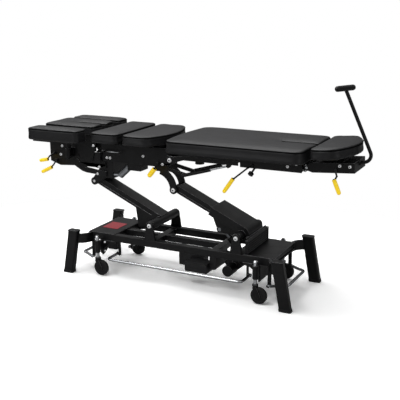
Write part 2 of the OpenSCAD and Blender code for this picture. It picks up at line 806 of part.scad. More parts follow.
// Places a piece in an arm's own frame, -X along the arm
module on_arm(low) {
    translate([low[0], 0, low[1]]) rotate([0, arm_angle, 0]) children();
}
side_in = 2;
side_in_share = 0.3;
module arm_beam(upper_bore_r) {
    beam_x0 = -arm_len + eye_r / 2;
    difference() {
        union() {
            translate([beam_x0, -arm_half_w, -arm_below]) cube([-beam_x0, 2 * arm_half_w, arm_h]);
            bar_y([-arm_len, 0], eye_r - play, -arm_half_w, arm_half_w);
            bar_y([0, 0], pivot_tube_r, -bracket_in + play, bracket_in - play);
        }
        for (s = [-1, 1]) translate([beam_x0 + eye_r, s > 0 ? arm_half_w - side_in : -arm_half_w - side_in,
            arm_h * side_in_share - arm_below])
            cube([arm_len - 3 * eye_r - pivot_tube_r, 2 * side_in, arm_h * (1 - 2 * side_in_share)]);
        bar_y([-arm_len, 0], upper_bore_r, -2 * arm_half_w, 2 * arm_half_w);
        bar_y([0, 0], pin_r + fit, -rail_out, rail_out);
    }
}
gusset_len = 190;
gusset_x = 115;
gusset_drop = 119;
// Clearance of the head arm's upper bore, the open pivot of the linkage
open_play = 0.4;
module front_arm() {
    color(black) at_base() on_arm(head_low) {
        arm_beam(pin_r + open_play);
        side_pair(arm_half_w - gusset_t, arm_half_w) difference() {
            polygon([[-gusset_len, 0], [-gusset_x, -gusset_drop], [0, -pivot_tube_r], [0, 0]]);
            circle(r = pivot_tube_r - play);
        }
    }
}
hood_len = 240;
hood_half = 95;
hood_end = 20;
rod_at = turned(rod_pivot - foot_low, [0, 0], arm_angle);
lug_r = 20;
module rear_arm() {
    color(black) at_base() on_arm(foot_low) {
        arm_beam(pin_r + fit);
        difference() {
            side_pair(arm_half_w - gusset_t, arm_half_w) difference() {
                union() {
                    translate(rod_at) circle(r = lug_r);
                    polygon([[-hood_len, 0], [rod_at[0] - lug_r, rod_at[1]], [rod_at[0], rod_at[1] - lug_r],
                        [0, -pivot_tube_r], [0, 0]]);
                }
                circle(r = pivot_tube_r - play);
            }
            bar_y(rod_at, pin_r + fit, -rail_out, rail_out);
        }
        hood();
    }
}
// Sheet hood over the foot of the arm, bent round its pivot tube
module hood_nose(r) {
    far = 2 * r;
    intersection() {
        circle(r = r);
        polygon([[0, 0], [0, far], [far * cos(hood_end), far], far * [cos(hood_end), sin(hood_end)]]);
    }
}
module hood() {
    z1 = hood_z + sheet;
    side_plate(-hood_half, hood_half) union() {
        translate([-hood_len, hood_z]) square([hood_len, sheet]);
        difference() {
            hood_nose(z1);
            circle(r = hood_z);
        }
    }
    side_pair(hood_half - sheet, hood_half) difference() {
        union() {
            translate([-hood_len, 0]) square([hood_len, z1]);
            hood_nose(z1);
        }
        circle(r = pivot_tube_r - play);
    }
    difference() {
        side_plate(-hood_half, hood_half) translate([-hood_len, 0]) square([sheet, z1]);
        side_plate(-arm_half_w + side_in, arm_half_w - side_in) translate([-2 * hood_len, -arm_below])
            square([2 * hood_len, arm_h]);
    }
}

// Frame along the lift motor, +X from its lower to its upper end
module on_motor() {
    translate([motor_pivot[0], 0, motor_pivot[1]]) rotate([0, -motor_lean, 0]) children();
}
motor_bore_x = 24;
gear_x0 = -50;
gear_x1 = 40;
gear_z0 = 24;
gear_z1 = 108;
gear_y0 = -50;
gear_y1 = 22;
motor_r = 34;
motor_y = -132;
neck_x = 14;
module lift_motor() {
    color(black) at_base() on_motor() difference() {
        union() {
            bar_y([0, 0], motor_eye_r, -motor_eye_half, motor_eye_half);
            rotate([0, 90, 0]) cylinder(r = motor_eye_half, h = motor_tube_len / 2);
            translate([motor_eye_r + lug_r, 0, 0]) rotate([0, 90, 0])
                cylinder(r = motor_tube_r, h = motor_tube_len - motor_eye_r - lug_r);
            translate([gear_x0, gear_y0, gear_z0])
                cube([gear_x1 - gear_x0, gear_y1 - gear_y0, gear_z1 - gear_z0]);
            translate([-neck_x, -motor_eye_half, 0]) cube([2 * neck_x, 2 * motor_eye_half, gear_z0 + eps]);
            bar_y([(gear_x0 + gear_x1) / 2 - neck_x, (gear_z0 + gear_z1) / 2 + neck_x], motor_r,
                motor_y, gear_y0 + eps);
        }
        bar_y([0, 0], pin_r + fit, -rail_out, rail_out);
        translate([motor_bore_x, 0, 0]) rotate([0, 90, 0])
            cylinder(r = motor_rod_r + play / 2, h = motor_len);
    }
}
module lift_rod() {
    color(zinc) at_base() on_motor() {
        translate([motor_len - rod_len, 0, 0]) rotate([0, 90, 0])
            cylinder(r = motor_rod_r - play / 2, h = rod_len);
        bar_y([motor_len, 0], pin_r, -arm_half_w, arm_half_w);
        bar_y([motor_len, 0], motor_eye_r, -motor_eye_half, motor_eye_half);
    }
}

// Carriage

frame_shares = [[0, 0.06], [0.02, 0], [0.84, 0], [0.93, 0.2], [1, 0.3], [1, 1], [0, 1]];
guide_x = [-500, -400, -285, -190];
guide_y = 60;
guide_boss = 40;
flex_eye_r = 24;
flex_pin_r = 10;
small_bolt_r = 8;
pelvis_bolts = [[-254, 782], [-118, 743], [-497, 750], [-520, 750]];
carriage_in = carriage_y - plate_t;
yoke_in = yoke_y - plate_t;
module carriage_frame() {
    len_x = carriage_x1 - carriage_x0;
    h = carriage_z1 - carriage_z0;
    color(black) at_base() {
        difference() {
            union() {
                side_pair(carriage_in, carriage_y) union() {
                    polygon(outline(frame_shares, carriage_x0, carriage_z0, len_x, h));
                    link_2d([flex_x, flex_z], [carriage_x1 - flex_eye_r, flex_z], flex_eye_r);
                }
                translate([carriage_x0, -carriage_in, carriage_z1 - plate_t])
                    cube([len_x, 2 * carriage_in, plate_t]);
                for (x = [carriage_x0 + pad_r, carriage_x1 - 3 * pad_r])
                    translate([x, -carriage_in, carriage_z0]) cube([pad_r, 2 * carriage_in, plate_t]);
                for (x = guide_x, s = [-1, 1]) translate([x, s * guide_y, carriage_z1 - guide_boss])
                    cylinder(r = guide_r + plate_t / 2, h = guide_boss);
            }
            for (x = guide_x, s = [-1, 1]) translate([x, s * guide_y, carriage_z0 + plate_t + eps])
                cylinder(r = guide_r + fit, h = h);
        }
        side_pair(carriage_in, yoke_y + play) translate([flex_x, flex_z]) circle(r = flex_pin_r);
        for (s = [-1, 1]) {
            bolt_y([flex_x, flex_z], s * (yoke_y + play), s, bolt_r);
            for (b = pelvis_bolts) bolt_y(b, s * carriage_y, s, small_bolt_r);
        }
        bar_y(drop_pin, lever_pin_r, -carriage_y - lever_eye_t - 2 * play, -carriage_y + eps);
    }
}

// Box post and lobes that hold the upper end of the head arm
lobe_t = 12;
lobe_in = arm_half_w + play;
lobe_h = 70;
lobe_corner = 21;
post_wall = 6;
module head_post() {
    color(black) at_base() {
        difference() {
            translate([post_x0, -post_half, post_z0])
                cube([post_x1 - post_x0, 2 * post_half, carriage_z0 - post_z0]);
            translate([post_x0 + post_wall, post_wall - post_half, post_z0 - eps])
                cube([post_x1 - post_x0 - 2 * post_wall, 2 * (post_half - post_wall), leg_h]);
        }
        side_pair(lobe_in, lobe_in + lobe_t) union() {
            translate(head_up) circle(r = eye_r);
            polygon([[head_up[0] - eye_r, head_up[1]], [post_x0, post_z0 + lobe_h],
                [post_x1, post_z0 + lobe_h], [post_x1, post_z0 + play], [post_x0 + 2 * eye_r, post_z0 + play],
                [head_up[0] + eye_r / 2, head_up[1] - lobe_corner]]);
        }
        bar_y(head_up, pin_r, -lobe_in - lobe_t, lobe_in + lobe_t);
        for (s = [-1, 1]) bolt_y(head_up, s * (lobe_in + lobe_t), s, small_bolt_r);
    }
}

// Curved plates that hold the upper end of the foot arm and the gas struts
rear_bend_r = 118;
rear_half_w = 22;
rear_bend = 76;
strut_low = [5, 678];
strut_up = [312, 767];
strut_y = 80;
strut_pin_r = 5;
strut_eye_r = 11;
rear_top_x0 = -205;
rear_top_x1 = -112;
rear_top_h = 40;
module rear_plates() {
    c = [foot_up[0] - rear_bend_r, foot_up[1]];
    reach = 2 * rear_bend_r;
    color(black) at_base() {
        side_pair(lobe_in, lobe_in + lobe_t) union() {
            translate(foot_up) circle(r = eye_r);
            translate(c) difference() {
                intersection() {
                    circle(r = rear_bend_r + rear_half_w);
                    polygon([[0, 0], [reach, 0], [reach, reach], [reach * cos(rear_bend), reach]]);
                }
                circle(r = rear_bend_r - rear_half_w);
            }
            translate([rear_top_x0, carriage_z0 - rear_top_h])
                square([rear_top_x1 - rear_top_x0, rear_top_h]);
            link_2d([rear_top_x1 - strut_eye_r, carriage_z0 - rear_top_h / 2], strut_low, strut_eye_r);
        }
        translate([rear_top_x0, -lobe_in - eps, carriage_z0 - plate_t])
            cube([rear_top_x1 - rear_top_x0, 2 * lobe_in + 2 * eps, plate_t]);
        bar_y(foot_up, pin_r, -lobe_in - lobe_t, lobe_in + lobe_t);
        side_pair(lobe_in, strut_y + strut_eye_r) translate(strut_low) circle(r = strut_pin_r);
        for (s = [-1, 1]) bolt_y(foot_up, s * (lobe_in + lobe_t), s, bolt_r);
    }
}

// Air cylinder of the drop sections, with its valve box under the carriage
valve_x0 = -373;
valve_x1 = -278;
valve_z0 = 682;
valve_y0 = -110;
valve_y1 = -20;
air_r = 22;
air_y = -78;
air_top = [-370, 704];
air_end = [-446, 636];
air_nose_r = 10;
module drop_actuator() {
    color(zinc) at_base() {
        translate([valve_x0, valve_y0, valve_z0])
            cube([valve_x1 - valve_x0, valve_y1 - valve_y0, carriage_z0 - valve_z0]);
        rod([air_top[0], air_y, air_top[1]], [air_end[0], air_y, air_end[1]], air_r);
        translate([air_end[0], air_y, air_end[1]]) sphere(r = air_nose_r);
        rod([post_x1, air_y, air_end[1]], [air_end[0], air_y, air_end[1]], air_nose_r);
    }
}

// Head section

arms_x0 = -975;
arms_x1 = -540;
arms_z0 = 622;
arms_z1 = 828;
arms_shares = [[0, 1], [0.32, 1], [0.375, 0.86], [0.43, 0.58], [0.5, 0.44], [0.58, 0.29], [0.67, 0.23],
    [0.85, 0.18], [1, 0.16], [1, 0], [0.87, 0], [0.81, 0.04], [0.65, 0.06], [0.57, 0.1], [0.49, 0.19],
    [0.44, 0.25], [0.18, 0.21], [0, 0.33]];
upper_bar_z = 688;
upper_bar_x0 = -758;
upper_bar_half = 13;
head_pin_r = 8;
tie_r = 7;
ties = [[-955, 722], [-800, 690]];
armrest_post_x = -800;
armrest_post_y = 140;
armrest_post_r = 10;
sleeve_wall = 8;
armrest_sleeve_z0 = 732;
armrest_sleeve_z1 = 792;
head_bolts = [[-889, 737], [-591, 681], [-607, 634]];
lever_1_pin = [-940, 742];
lever_2_pin = [-925, 694];
lever_pin_r = 5;
lever_eye_r = 11;
lever_eye_t = 8;
module head_arms() {
    w = arms_x1 - arms_x0;
    h = arms_z1 - arms_z0;
    sleeve_h = armrest_sleeve_z1 - armrest_sleeve_z0;
    color(black) at_base() {
        side_pair(post_half, arms_y) union() {
            polygon(outline(arms_shares, arms_x0, arms_z0, w, h));
            translate([upper_bar_x0, upper_bar_z - upper_bar_half])
                square([arms_x1 - upper_bar_x0, 2 * upper_bar_half]);
        }
        bar_y([head_pin_x, head_pin_z], head_pin_r, -arms_y, arms_y);
        for (t = ties) bar_y(t, tie_r, -post_half - eps, post_half + eps);
        for (s = [-1, 1]) {
            bolt_y([head_pin_x, head_pin_z], s * arms_y, s, small_bolt_r);
            for (b = head_bolts) bolt_y(b, s * arms_y, s, small_bolt_r);
            mirror([0, s < 0 ? 1 : 0, 0]) difference() {
                union() {
                    translate([armrest_post_x, armrest_post_y, armrest_sleeve_z0])
                        cylinder(r = armrest_post_r + sleeve_wall, h = sleeve_h);
                    translate([armrest_post_x - armrest_post_r, arms_y - eps, armrest_sleeve_z0])
                        cube([2 * armrest_post_r, armrest_post_y - arms_y, sleeve_h]);
                    translate([arms_x0 + w / 4, arms_y - plate_t, armrest_sleeve_z0])
                        cube([w / 4 + armrest_post_r, plate_t, sleeve_h]);
                }
                translate([armrest_post_x, armrest_post_y, armrest_sleeve_z0 - eps])
                    cylinder(r = armrest_post_r + fit, h = leg_h);
            }
        }
        for (q = [lever_1_pin, lever_2_pin])
            bar_y(q, lever_pin_r, -arms_y - lever_eye_t - 2 * play, -arms_y + eps);
    }
}

head_plate_x0 = -960;
head_plate_x1 = -640;
head_plate_half = 95;
cheek_shares = [[0, 1], [1, 1], [0.62, 0], [0.36, 0]];
cheek_x0 = -940;
cheek_x1 = -780;
module head_frame() {
    z1 = face_top - face_t;
    color(black) at_base() {
        difference() {
            translate([head_plate_x0, -head_plate_half, z1 - tray_t - soft_gap])
                cube([head_plate_x1 - head_plate_x0, 2 * head_plate_half, tray_t]);
            translate([face_slot_x, -face_slot_half, z1 - 2 * tray_t])
                cube([-face_slot_x, 2 * face_slot_half, leg_h]);
        }
        side_pair(cheek_y - plate_t, cheek_y) difference() {
            union() {
                polygon(outline(cheek_shares, cheek_x0, head_pin_z, cheek_x1 - cheek_x0,
                    z1 - tray_t / 2 - head_pin_z));
                translate([head_pin_x, head_pin_z]) circle(r = 2 * head_pin_r);
            }
            translate([head_pin_x, head_pin_z]) circle(r = head_pin_r + fit);
        }
    }
}
module face_cushion() {
    color(vinyl) at_base()
        slotted_cushion(face_x0, face_x1, face_half, soft_r, 0, face_slot_x, face_slot_half,
            face_top - face_t, face_top);
}

armrest_tray_in = 14;
armrest_corner_r = 26;
module armrest(s) {
    z0 = arm_top - arm_t;
    mid_y = (arm_y0 + arm_y1) / 2;
    at_base() mirror([0, s < 0 ? 1 : 0, 0]) {
        color(vinyl) cushion(arm_x0, arm_x1, arm_y0, arm_y1, armrest_corner_r, 0, 0, z0, arm_top);
        color(black) {
            translate([arm_x0 + pad_r, arm_y0 + armrest_tray_in, z0 - tray_t - soft_gap])
                cube([arm_x1 - arm_x0 - 2 * pad_r, arm_y1 - arm_y0 - 2 * armrest_tray_in, tray_t]);
            translate([armrest_post_x - 2 * armrest_post_r, armrest_post_y - armrest_post_r,
                z0 - 2 * tray_t]) cube([4 * armrest_post_r, mid_y - armrest_post_y, tray_t]);
            translate([armrest_post_x, armrest_post_y, armrest_sleeve_z0 - armrest_post_r])
                cylinder(r = armrest_post_r,
                    h = z0 - 1.5 * tray_t - armrest_sleeve_z0 + armrest_post_r);
        }
    }
}
module armrest_1() { armrest(-1); }
module armrest_2() { armrest(1); }

// A lever: an eye on its pin, a bent rod and a grip with round ends
module lever(pin, y, points, grip_a, grip_b, r) {
    difference() {
        union() {
            bar_y(pin, lever_eye_r, y - lever_eye_t / 2, y + lever_eye_t / 2);
            bent_rod(concat([[pin[0], y - lever_pin_r, pin[1]]], points, [grip_a]), lever_rod_r);
        }
        bar_y(pin, lever_pin_r + fit, y - lever_eye_t, y + 2 * lever_eye_t);
    }
    grip(grip_a, grip_b, r);
}
head_lever_y = -arms_y - lever_eye_t / 2 - play;
head_grip_y = -172;
grip_1a = [-948, head_grip_y, 713];
grip_1b = [-reach_head + lever_grip_r, head_grip_y, 702];
grip_2a = [-920, head_grip_y, 661];
grip_2b = [-988, head_grip_y, 628];
out_1 = [-952, -140, 728];
out_2 = [-925, -140, 672];
module head_lever_1() {
    color(yellow) at_base() lever(lever_1_pin, head_lever_y, [out_1], grip_1a, grip_1b, lever_grip_r);
}
module head_lever_2() {
    color(yellow) at_base() lever(lever_2_pin, head_lever_y, [out_2], grip_2a, grip_2b, lever_grip_r);
}
drop_pin = [-150, 745];
drop_y = -carriage_y - lever_eye_t / 2 - play;
drop_grip_y = -138;
drop_grip_r = 14;
drop_a = [-166, drop_grip_y, 710];
drop_b = [-196, drop_grip_y, 673];
drop_out = [-153, -132, 735];
module drop_lever() {
    color(yellow) at_base() lever(drop_pin, drop_y, [drop_out], drop_a, drop_b, drop_grip_r);
}

// Chest and pelvis

module tray(x0, x1, half, z1, guides) {
    translate([x0, -half, z1 - tray_t - soft_gap]) cube([x1 - x0, 2 * half, tray_t]);
    for (x = guides, s = [-1, 1]) translate([x, s * guide_y, carriage_z1 - guide_boss - drop])
        cylinder(r = guide_r, h = z1 - tray_t / 2 - carriage_z1 + guide_boss + drop);
}
tray_in = 30;
module chest_tray() {
    color(black) at_base() tray(chest_x0 + tray_in, chest_x1 - tray_in, chest_half - tray_in,
        chest_top - chest_t, [guide_x[0], guide_x[1]]);
}
module chest_cushion() {
    color(vinyl) at_base() cushion(chest_x0, chest_x1, -chest_half, chest_half, soft_r, 0, 0,
        chest_top - chest_t, chest_top);
}
module pelvic_tray() {
    color(black) at_base() tray(pelvic_x0 + tray_in, pelvic_x1, chest_half - tray_in,
        pelvic_top - chest_t, [guide_x[2], guide_x[3]]);
}
module pelvic_cushion() {
    color(vinyl) at_base() cushion(pelvic_x0, pelvic_x1, -chest_half, chest_half, soft_r, 0, pelvic_bulge,
        pelvic_top - chest_t, pelvic_top);
}

// Leg section

swing_pin_r = 14;
swing_boss_r = 28;
swing_boss_z0 = 742;
yoke_plate_x0 = 30;
yoke_ear_r = 22;
strut_lug_y = 94;
lug_t = 6;
module flexion_yoke() {
    z0 = yoke_top - yoke_h;
    color(black) at_base() difference() {
        union() {
            side_pair(yoke_in, yoke_y) union() {
                translate([flex_x, flex_z]) circle(r = yoke_ear_r);
                polygon([[flex_x, flex_z - yoke_ear_r], [yoke_plate_x0, z0], [yoke_x1, z0],
                    [yoke_x1, yoke_top], [yoke_plate_x0, yoke_top], [flex_x, flex_z + yoke_ear_r]]);
            }
            translate([yoke_plate_x0, -yoke_in, yoke_top - plate_t])
                cube([yoke_x1 - yoke_plate_x0, 2 * yoke_in, plate_t]);
            translate([swing_x, 0, swing_boss_z0]) cylinder(r = swing_boss_r, h = yoke_top - swing_boss_z0);
            side_pair(strut_lug_y, strut_lug_y + lug_t) union() {
                translate(strut_up) circle(r = strut_eye_r);
                translate([strut_up[0] - strut_eye_r, strut_up[1]])
                    square([2 * strut_eye_r, yoke_top - plate_t / 2 - strut_up[1]]);
            }
            side_pair(strut_y - strut_eye_r, strut_lug_y + lug_t) translate(strut_up) circle(r = strut_pin_r);
        }
        translate([swing_x, 0, swing_boss_z0 - eps]) cylinder(r = swing_pin_r + fit, h = leg_h);
        bar_y([flex_x, flex_z], flex_pin_r + fit, -rail_out, rail_out);
    }
}

strut_r = 11;
strut_rod_r = 6;
strut_bore_r = 9;
strut_tube_len = 190;
strut_rod_len = 185;
strut_bore_x = 90;
strut_line = strut_up - strut_low;
module on_strut(s) {
    translate([strut_low[0], s * strut_y, strut_low[1]])
        rotate([0, -atan2(strut_line[1], strut_line[0]), 0]) children();
}
strut_eye_half = 8;
module strut_cylinders() {
    color(black) at_base() for (s = [-1, 1]) on_strut(s) difference() {
        union() {
            bar_y([0, 0], strut_eye_r, -strut_eye_half, strut_eye_half);
            rotate([0, 90, 0]) cylinder(r = strut_r, h = strut_tube_len);
        }
        bar_y([0, 0], strut_pin_r + fit, -strut_y, strut_y);
        translate([strut_bore_x, 0, 0]) rotate([0, 90, 0]) cylinder(r = strut_bore_r, h = norm(strut_line));
    }
}
module strut_rods() {
    len_s = norm(strut_line);
    color(chrome) at_base() for (s = [-1, 1]) on_strut(s) difference() {
        union() {
            bar_y([len_s, 0], strut_eye_r, -strut_eye_half, strut_eye_half);
            translate([len_s - strut_rod_len, 0, 0]) rotate([0, 90, 0])
                cylinder(r = strut_rod_r, h = strut_rod_len);
        }
        bar_y([len_s, 0], strut_pin_r + fit, -strut_y, strut_y);
    }
}

leg_plate_x0 = -5;
leg_plate_half = 255;
deep_x = 400;
deep_z = 776;
foot_rod_y = 72;
foot_rod_r = 9;
foot_rod_z = 790;
foot_rod_x0 = 565;
guide_plate_x = [660, 757];
swing_pin = [475, 790];
knob_top = [498, 796];
knob_low = [458, 737];
knob_y = -100;
knob_stem_r = 6;
knob_boss_r = 12;
knob_r = 16;
knob_h = 16;
leg_bolts = [[689, 806], [740, 825], [430, 825]];
leg_z1 = leg_pad_top - leg_pad_t - soft_gap;
knob_line = knob_low - knob_top;
knob_u = knob_line / norm(knob_line);
knob_boss_len = 24;
module leg_frame() {
    color(black) at_base() difference() {
        union() {
            translate([leg_plate_x0, -leg_plate_half, leg_z1 - plate_t])
                cube([leg_frame_x1 - leg_plate_x0, 2 * leg_plate_half, plate_t]);
            side_pair(yoke_in, yoke_y) polygon([[leg_plate_x0, yoke_top + play],
                [deep_x - play, yoke_top + play], [deep_x, deep_z], [leg_frame_x1, deep_z],
                [leg_frame_x1, leg_z1 - plate_t / 2], [leg_plate_x0, leg_z1 - plate_t / 2]]);
            for (x = guide_plate_x) translate([x, -yoke_in, deep_z])
                cube([plate_t, 2 * yoke_in, leg_z1 - plate_t - deep_z]);
            translate([swing_x, 0, yoke_top + play])
                cylinder(r = swing_boss_r, h = leg_z1 - plate_t - yoke_top - play);
            translate([swing_x, 0, swing_boss_z0])
                cylinder(r = swing_pin_r, h = leg_z1 - plate_t - swing_boss_z0);
            for (s = [-1, 1], b = leg_bolts) bolt_y(b, s * yoke_y, s, small_bolt_r);
            bar_y(swing_pin, lever_pin_r, -yoke_y - lever_eye_t - 2 * play, -yoke_y + eps);
            rod([knob_top[0], knob_y, knob_top[1]], [knob_top[0] + knob_u[0] * knob_boss_len, knob_y,
                knob_top[1] + knob_u[1] * knob_boss_len], knob_boss_r);
            translate([knob_top[0] - knob_boss_r, -yoke_in - eps, knob_top[1] - knob_boss_r])
                cube([2 * knob_boss_r, yoke_in + knob_y, 2 * knob_boss_r]);
        }
        for (s = [-1, 1]) rod([foot_rod_x0, s * foot_rod_y, foot_rod_z],
            [2 * leg_frame_x1, s * foot_rod_y, foot_rod_z], foot_rod_r + fit);
        rod([knob_top[0] + knob_u[0] * play, knob_y, knob_top[1] + knob_u[1] * play],
            [knob_low[0], knob_y, knob_low[1]], knob_stem_r + fit);
    }
}
leg_corner_r = 50;
leg_bulge = 22;
module leg_cushion() {
    color(vinyl) at_base() slotted_cushion(leg_pad_x0, leg_pad_x1, leg_pad_half, leg_corner_r,
        leg_bulge, leg_slot_x, leg_slot_half, leg_pad_top - leg_pad_t, leg_pad_top);
}
swing_y = -yoke_y - lever_eye_t / 2 - play;
swing_grip_y = -150;
swing_a = [365, swing_grip_y, 704];
swing_b = [313, swing_grip_y, 630];
swing_out = [455, swing_grip_y, 778];
module swing_lever() {
    color(yellow) at_base() lever(swing_pin, swing_y, [swing_out], swing_a, swing_b, lever_grip_r);
}
module tension_knob() {
    color(black) at_base() {
        rod([knob_top[0] + knob_u[0] * 2 * play, knob_y, knob_top[1] + knob_u[1] * 2 * play],
            [knob_low[0], knob_y, knob_low[1]], knob_stem_r);
        rod([knob_low[0] - knob_u[0] * knob_h / 2, knob_y, knob_low[1] - knob_u[1] * knob_h / 2],
            [knob_low[0] + knob_u[0] * knob_h / 2, knob_y, knob_low[1] + knob_u[1] * knob_h / 2], knob_r);
    }
}

// Foot section

tilt_pin_r = 7;
tilt_eye_r = 14;
slide_x0 = 775;
slide_t = 10;
slide_half = 95;
module foot_slide() {
    color(chrome) at_base() {
        for (s = [-1, 1]) rod([foot_rod_x0, s * foot_rod_y, foot_rod_z],
            [slide_x0 + slide_t / 2, s * foot_rod_y, foot_rod_z], foot_rod_r);
        translate([slide_x0, -slide_half, tilt_z - 2 * tilt_eye_r])
            cube([slide_t, 2 * slide_half, 3 * tilt_eye_r]);
        side_pair(slide_half - plate_t, slide_half) union() {
            translate([tilt_x, tilt_z]) circle(r = tilt_eye_r);
            translate([slide_x0, tilt_z - tilt_eye_r]) square([tilt_x - slide_x0, 2 * tilt_eye_r]);
        }
        bar_y([tilt_x, tilt_z], tilt_pin_r, -foot_frame_y, foot_frame_y);
    }
}
// Tilts the foot section about its hinge as it stands in the photograph
module tilted() {
    translate([tilt_x, 0, tilt_z]) rotate([0, -tilt_rest, 0]) translate([-tilt_x, 0, -tilt_z]) children();
}
foot_frame_x1 = 1057;
foot_frame_z0 = 780;
foot_frame_z1 = 836;
foot_plate_x0 = 828;
foot_tray_half = 190;
foot_bolts = [[984, 820], [1040, 816]];
foot_pin = [962, 792];
riser_half = 60;
riser_len = 40;
socket_r = 17;
socket_x0 = 1035;
bend_a0 = -81.4;
bend_a1 = 24.4;
handle_bend_r = 40;
handle_c = [reach_foot - handle_r - handle_bend_r, 882];
handle_foot = handle_c + handle_bend_r * [cos(bend_a0), sin(bend_a0)];
handle_up = handle_c + handle_bend_r * [cos(bend_a1), sin(bend_a1)];
handle_start = handle_foot - (handle_foot[0] - socket_x0) * [1, tan(bend_a0 + 90)];
grip_z = handle_top - grip_r;
socket_len = 36;
socket_u = [cos(bend_a0 + 90), sin(bend_a0 + 90)];
module foot_frame() {
    z1 = foot_top - foot_t;
    color(black) at_base() difference() {
        union() {
            tilted() {
                side_pair(foot_frame_y - plate_t, foot_frame_y) difference() {
                    union() {
                        translate([tilt_x, tilt_z]) circle(r = tilt_eye_r);
                        polygon([[tilt_x, tilt_z - tilt_eye_r], [foot_plate_x0, foot_frame_z0],
                            [foot_frame_x1, foot_frame_z0], [foot_frame_x1, foot_frame_z1],
                            [foot_plate_x0, foot_frame_z1], [tilt_x, tilt_z + tilt_eye_r]]);
                    }
                    translate([tilt_x, tilt_z]) circle(r = tilt_pin_r + fit);
                }
                translate([foot_plate_x0, plate_t - foot_frame_y, foot_frame_z1 - plate_t])
                    cube([foot_frame_x1 - foot_plate_x0, 2 * (foot_frame_y - plate_t), plate_t]);
                translate([foot_frame_x1, -foot_frame_y, foot_frame_z0])
                    cube([plate_t, 2 * foot_frame_y, foot_frame_z1 - foot_frame_z0]);
                translate([foot_pad_x0 + tray_in, -foot_tray_half, z1 - tray_t - soft_gap])
                    cube([foot_pad_len - tray_in, 2 * foot_tray_half, tray_t]);
                for (x = [foot_pad_x0 + tray_in, foot_pad_x0 + foot_pad_len - riser_len])
                    translate([x, -riser_half, foot_frame_z1 - plate_t / 2])
                        cube([riser_len, 2 * riser_half, z1 - tray_t / 2 - foot_frame_z1 + plate_t / 2]);
                for (s = [-1, 1], b = foot_bolts) bolt_y(b, s * foot_frame_y, s, small_bolt_r);
                bar_y(foot_pin, lever_pin_r, -foot_frame_y - lever_eye_t - 2 * play, -foot_frame_y + eps);
            }
            rod([handle_start[0], 0, handle_start[1]], [handle_start[0] + socket_u[0] * socket_len, 0,
                handle_start[1] + socket_u[1] * socket_len], socket_r);
        }
        rod([handle_start[0], 0, handle_start[1]], [handle_foot[0], 0, handle_foot[1]], handle_r + fit);
    }
}
module foot_cushion() {
    color(vinyl) at_base() tilted() cushion(foot_pad_x0, foot_pad_x0 + foot_pad_len, -foot_half, foot_half,
        soft_r, 0, foot_bulge, foot_top - foot_t, foot_top);
}
module t_handle() {
    rise = grip_z - handle_up[1];
    top = handle_up + rise * [tan(-bend_a1), 1];
    u = [sin(grip_turn), cos(grip_turn), 0] * (grip_len / 2 - grip_r / 2);
    g = [top[0], 0, top[1]];
    color(black) at_base() {
        translate([handle_c[0], 0, handle_c[1]]) rotate([90, 0, 0]) rotate([0, 0, bend_a0]) {
            rotate_extrude(angle = bend_a1 - bend_a0) translate([handle_bend_r, 0]) circle(r = handle_r);
            translate([handle_bend_r, 0, 0]) rotate([90, 0, 0])
                cylinder(r = handle_r, h = norm(handle_foot - handle_start));
            rotate([0, 0, bend_a1 - bend_a0]) translate([handle_bend_r, 0, 0]) rotate([-90, 0, 0])
                cylinder(r = handle_r, h = rise / cos(bend_a1));
            for (a = [0, bend_a1 - bend_a0]) rotate([0, 0, a]) translate([handle_bend_r, 0, 0])
                sphere(r = handle_r + bend_swell);
        }
        grip(g - u, g + u, grip_r);
    }
}
foot_lever_y = -foot_frame_y - lever_eye_t / 2 - play;
foot_grip_y = -132;
foot_a = [962, foot_grip_y, 754];
foot_b = [990, foot_grip_y, 689];
foot_out = [973, -126, 778];
module foot_lever() {
    color(yellow) at_base() lever(turned(foot_pin, [tilt_x, tilt_z], tilt_rest), foot_lever_y, [foot_out],
        foot_a, foot_b, lever_grip_r);
}

near_rail();
far_rail();
cross_members();
leg_1();
leg_2();
leg_3();
leg_4();
rubber_feet();
head_pivot_brackets();
foot_pivot_brackets();
base_covers();
louvre_guard();
control_box();
castor_mounts();
head_castor_stems();
foot_castor_stems();
castor_fork_1();
castor_fork_2();
castor_fork_3();
castor_fork_4();
castor_wheel_1();
castor_wheel_2();
castor_wheel_3();
castor_wheel_4();
near_foot_bar();
far_foot_bar();
head_loop_bar();
foot_loop_bar();
front_arm();
rear_arm();
lift_motor();
lift_rod();
carriage_frame();
head_post();
rear_plates();
drop_actuator();
head_arms();
head_frame();
face_cushion();
armrest_1();
armrest_2();
head_lever_1();
head_lever_2();
drop_lever();
chest_tray();
chest_cushion();
pelvic_tray();
pelvic_cushion();
flexion_yoke();
leg_frame();
leg_cushion();
strut_cylinders();
strut_rods();
swing_lever();
tension_knob();
foot_slide();
foot_frame();
foot_cushion();
t_handle();
foot_lever();
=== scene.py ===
# %% [markdown]
# # A sectional treatment table in a white studio
#
# The table's steel, castors, levers and lift come from an exact solid model that was made first. This
# lesson opens that model, gives every part the finish of the real one, and makes what a solid model
# can't hold well: padded cushions with seams and stitches, dipped lever grips and bright bolt heads.

# %% Open the frame and keep its size
import math

import bmesh
import bpy
import numpy as np
from mathutils import Matrix, Vector


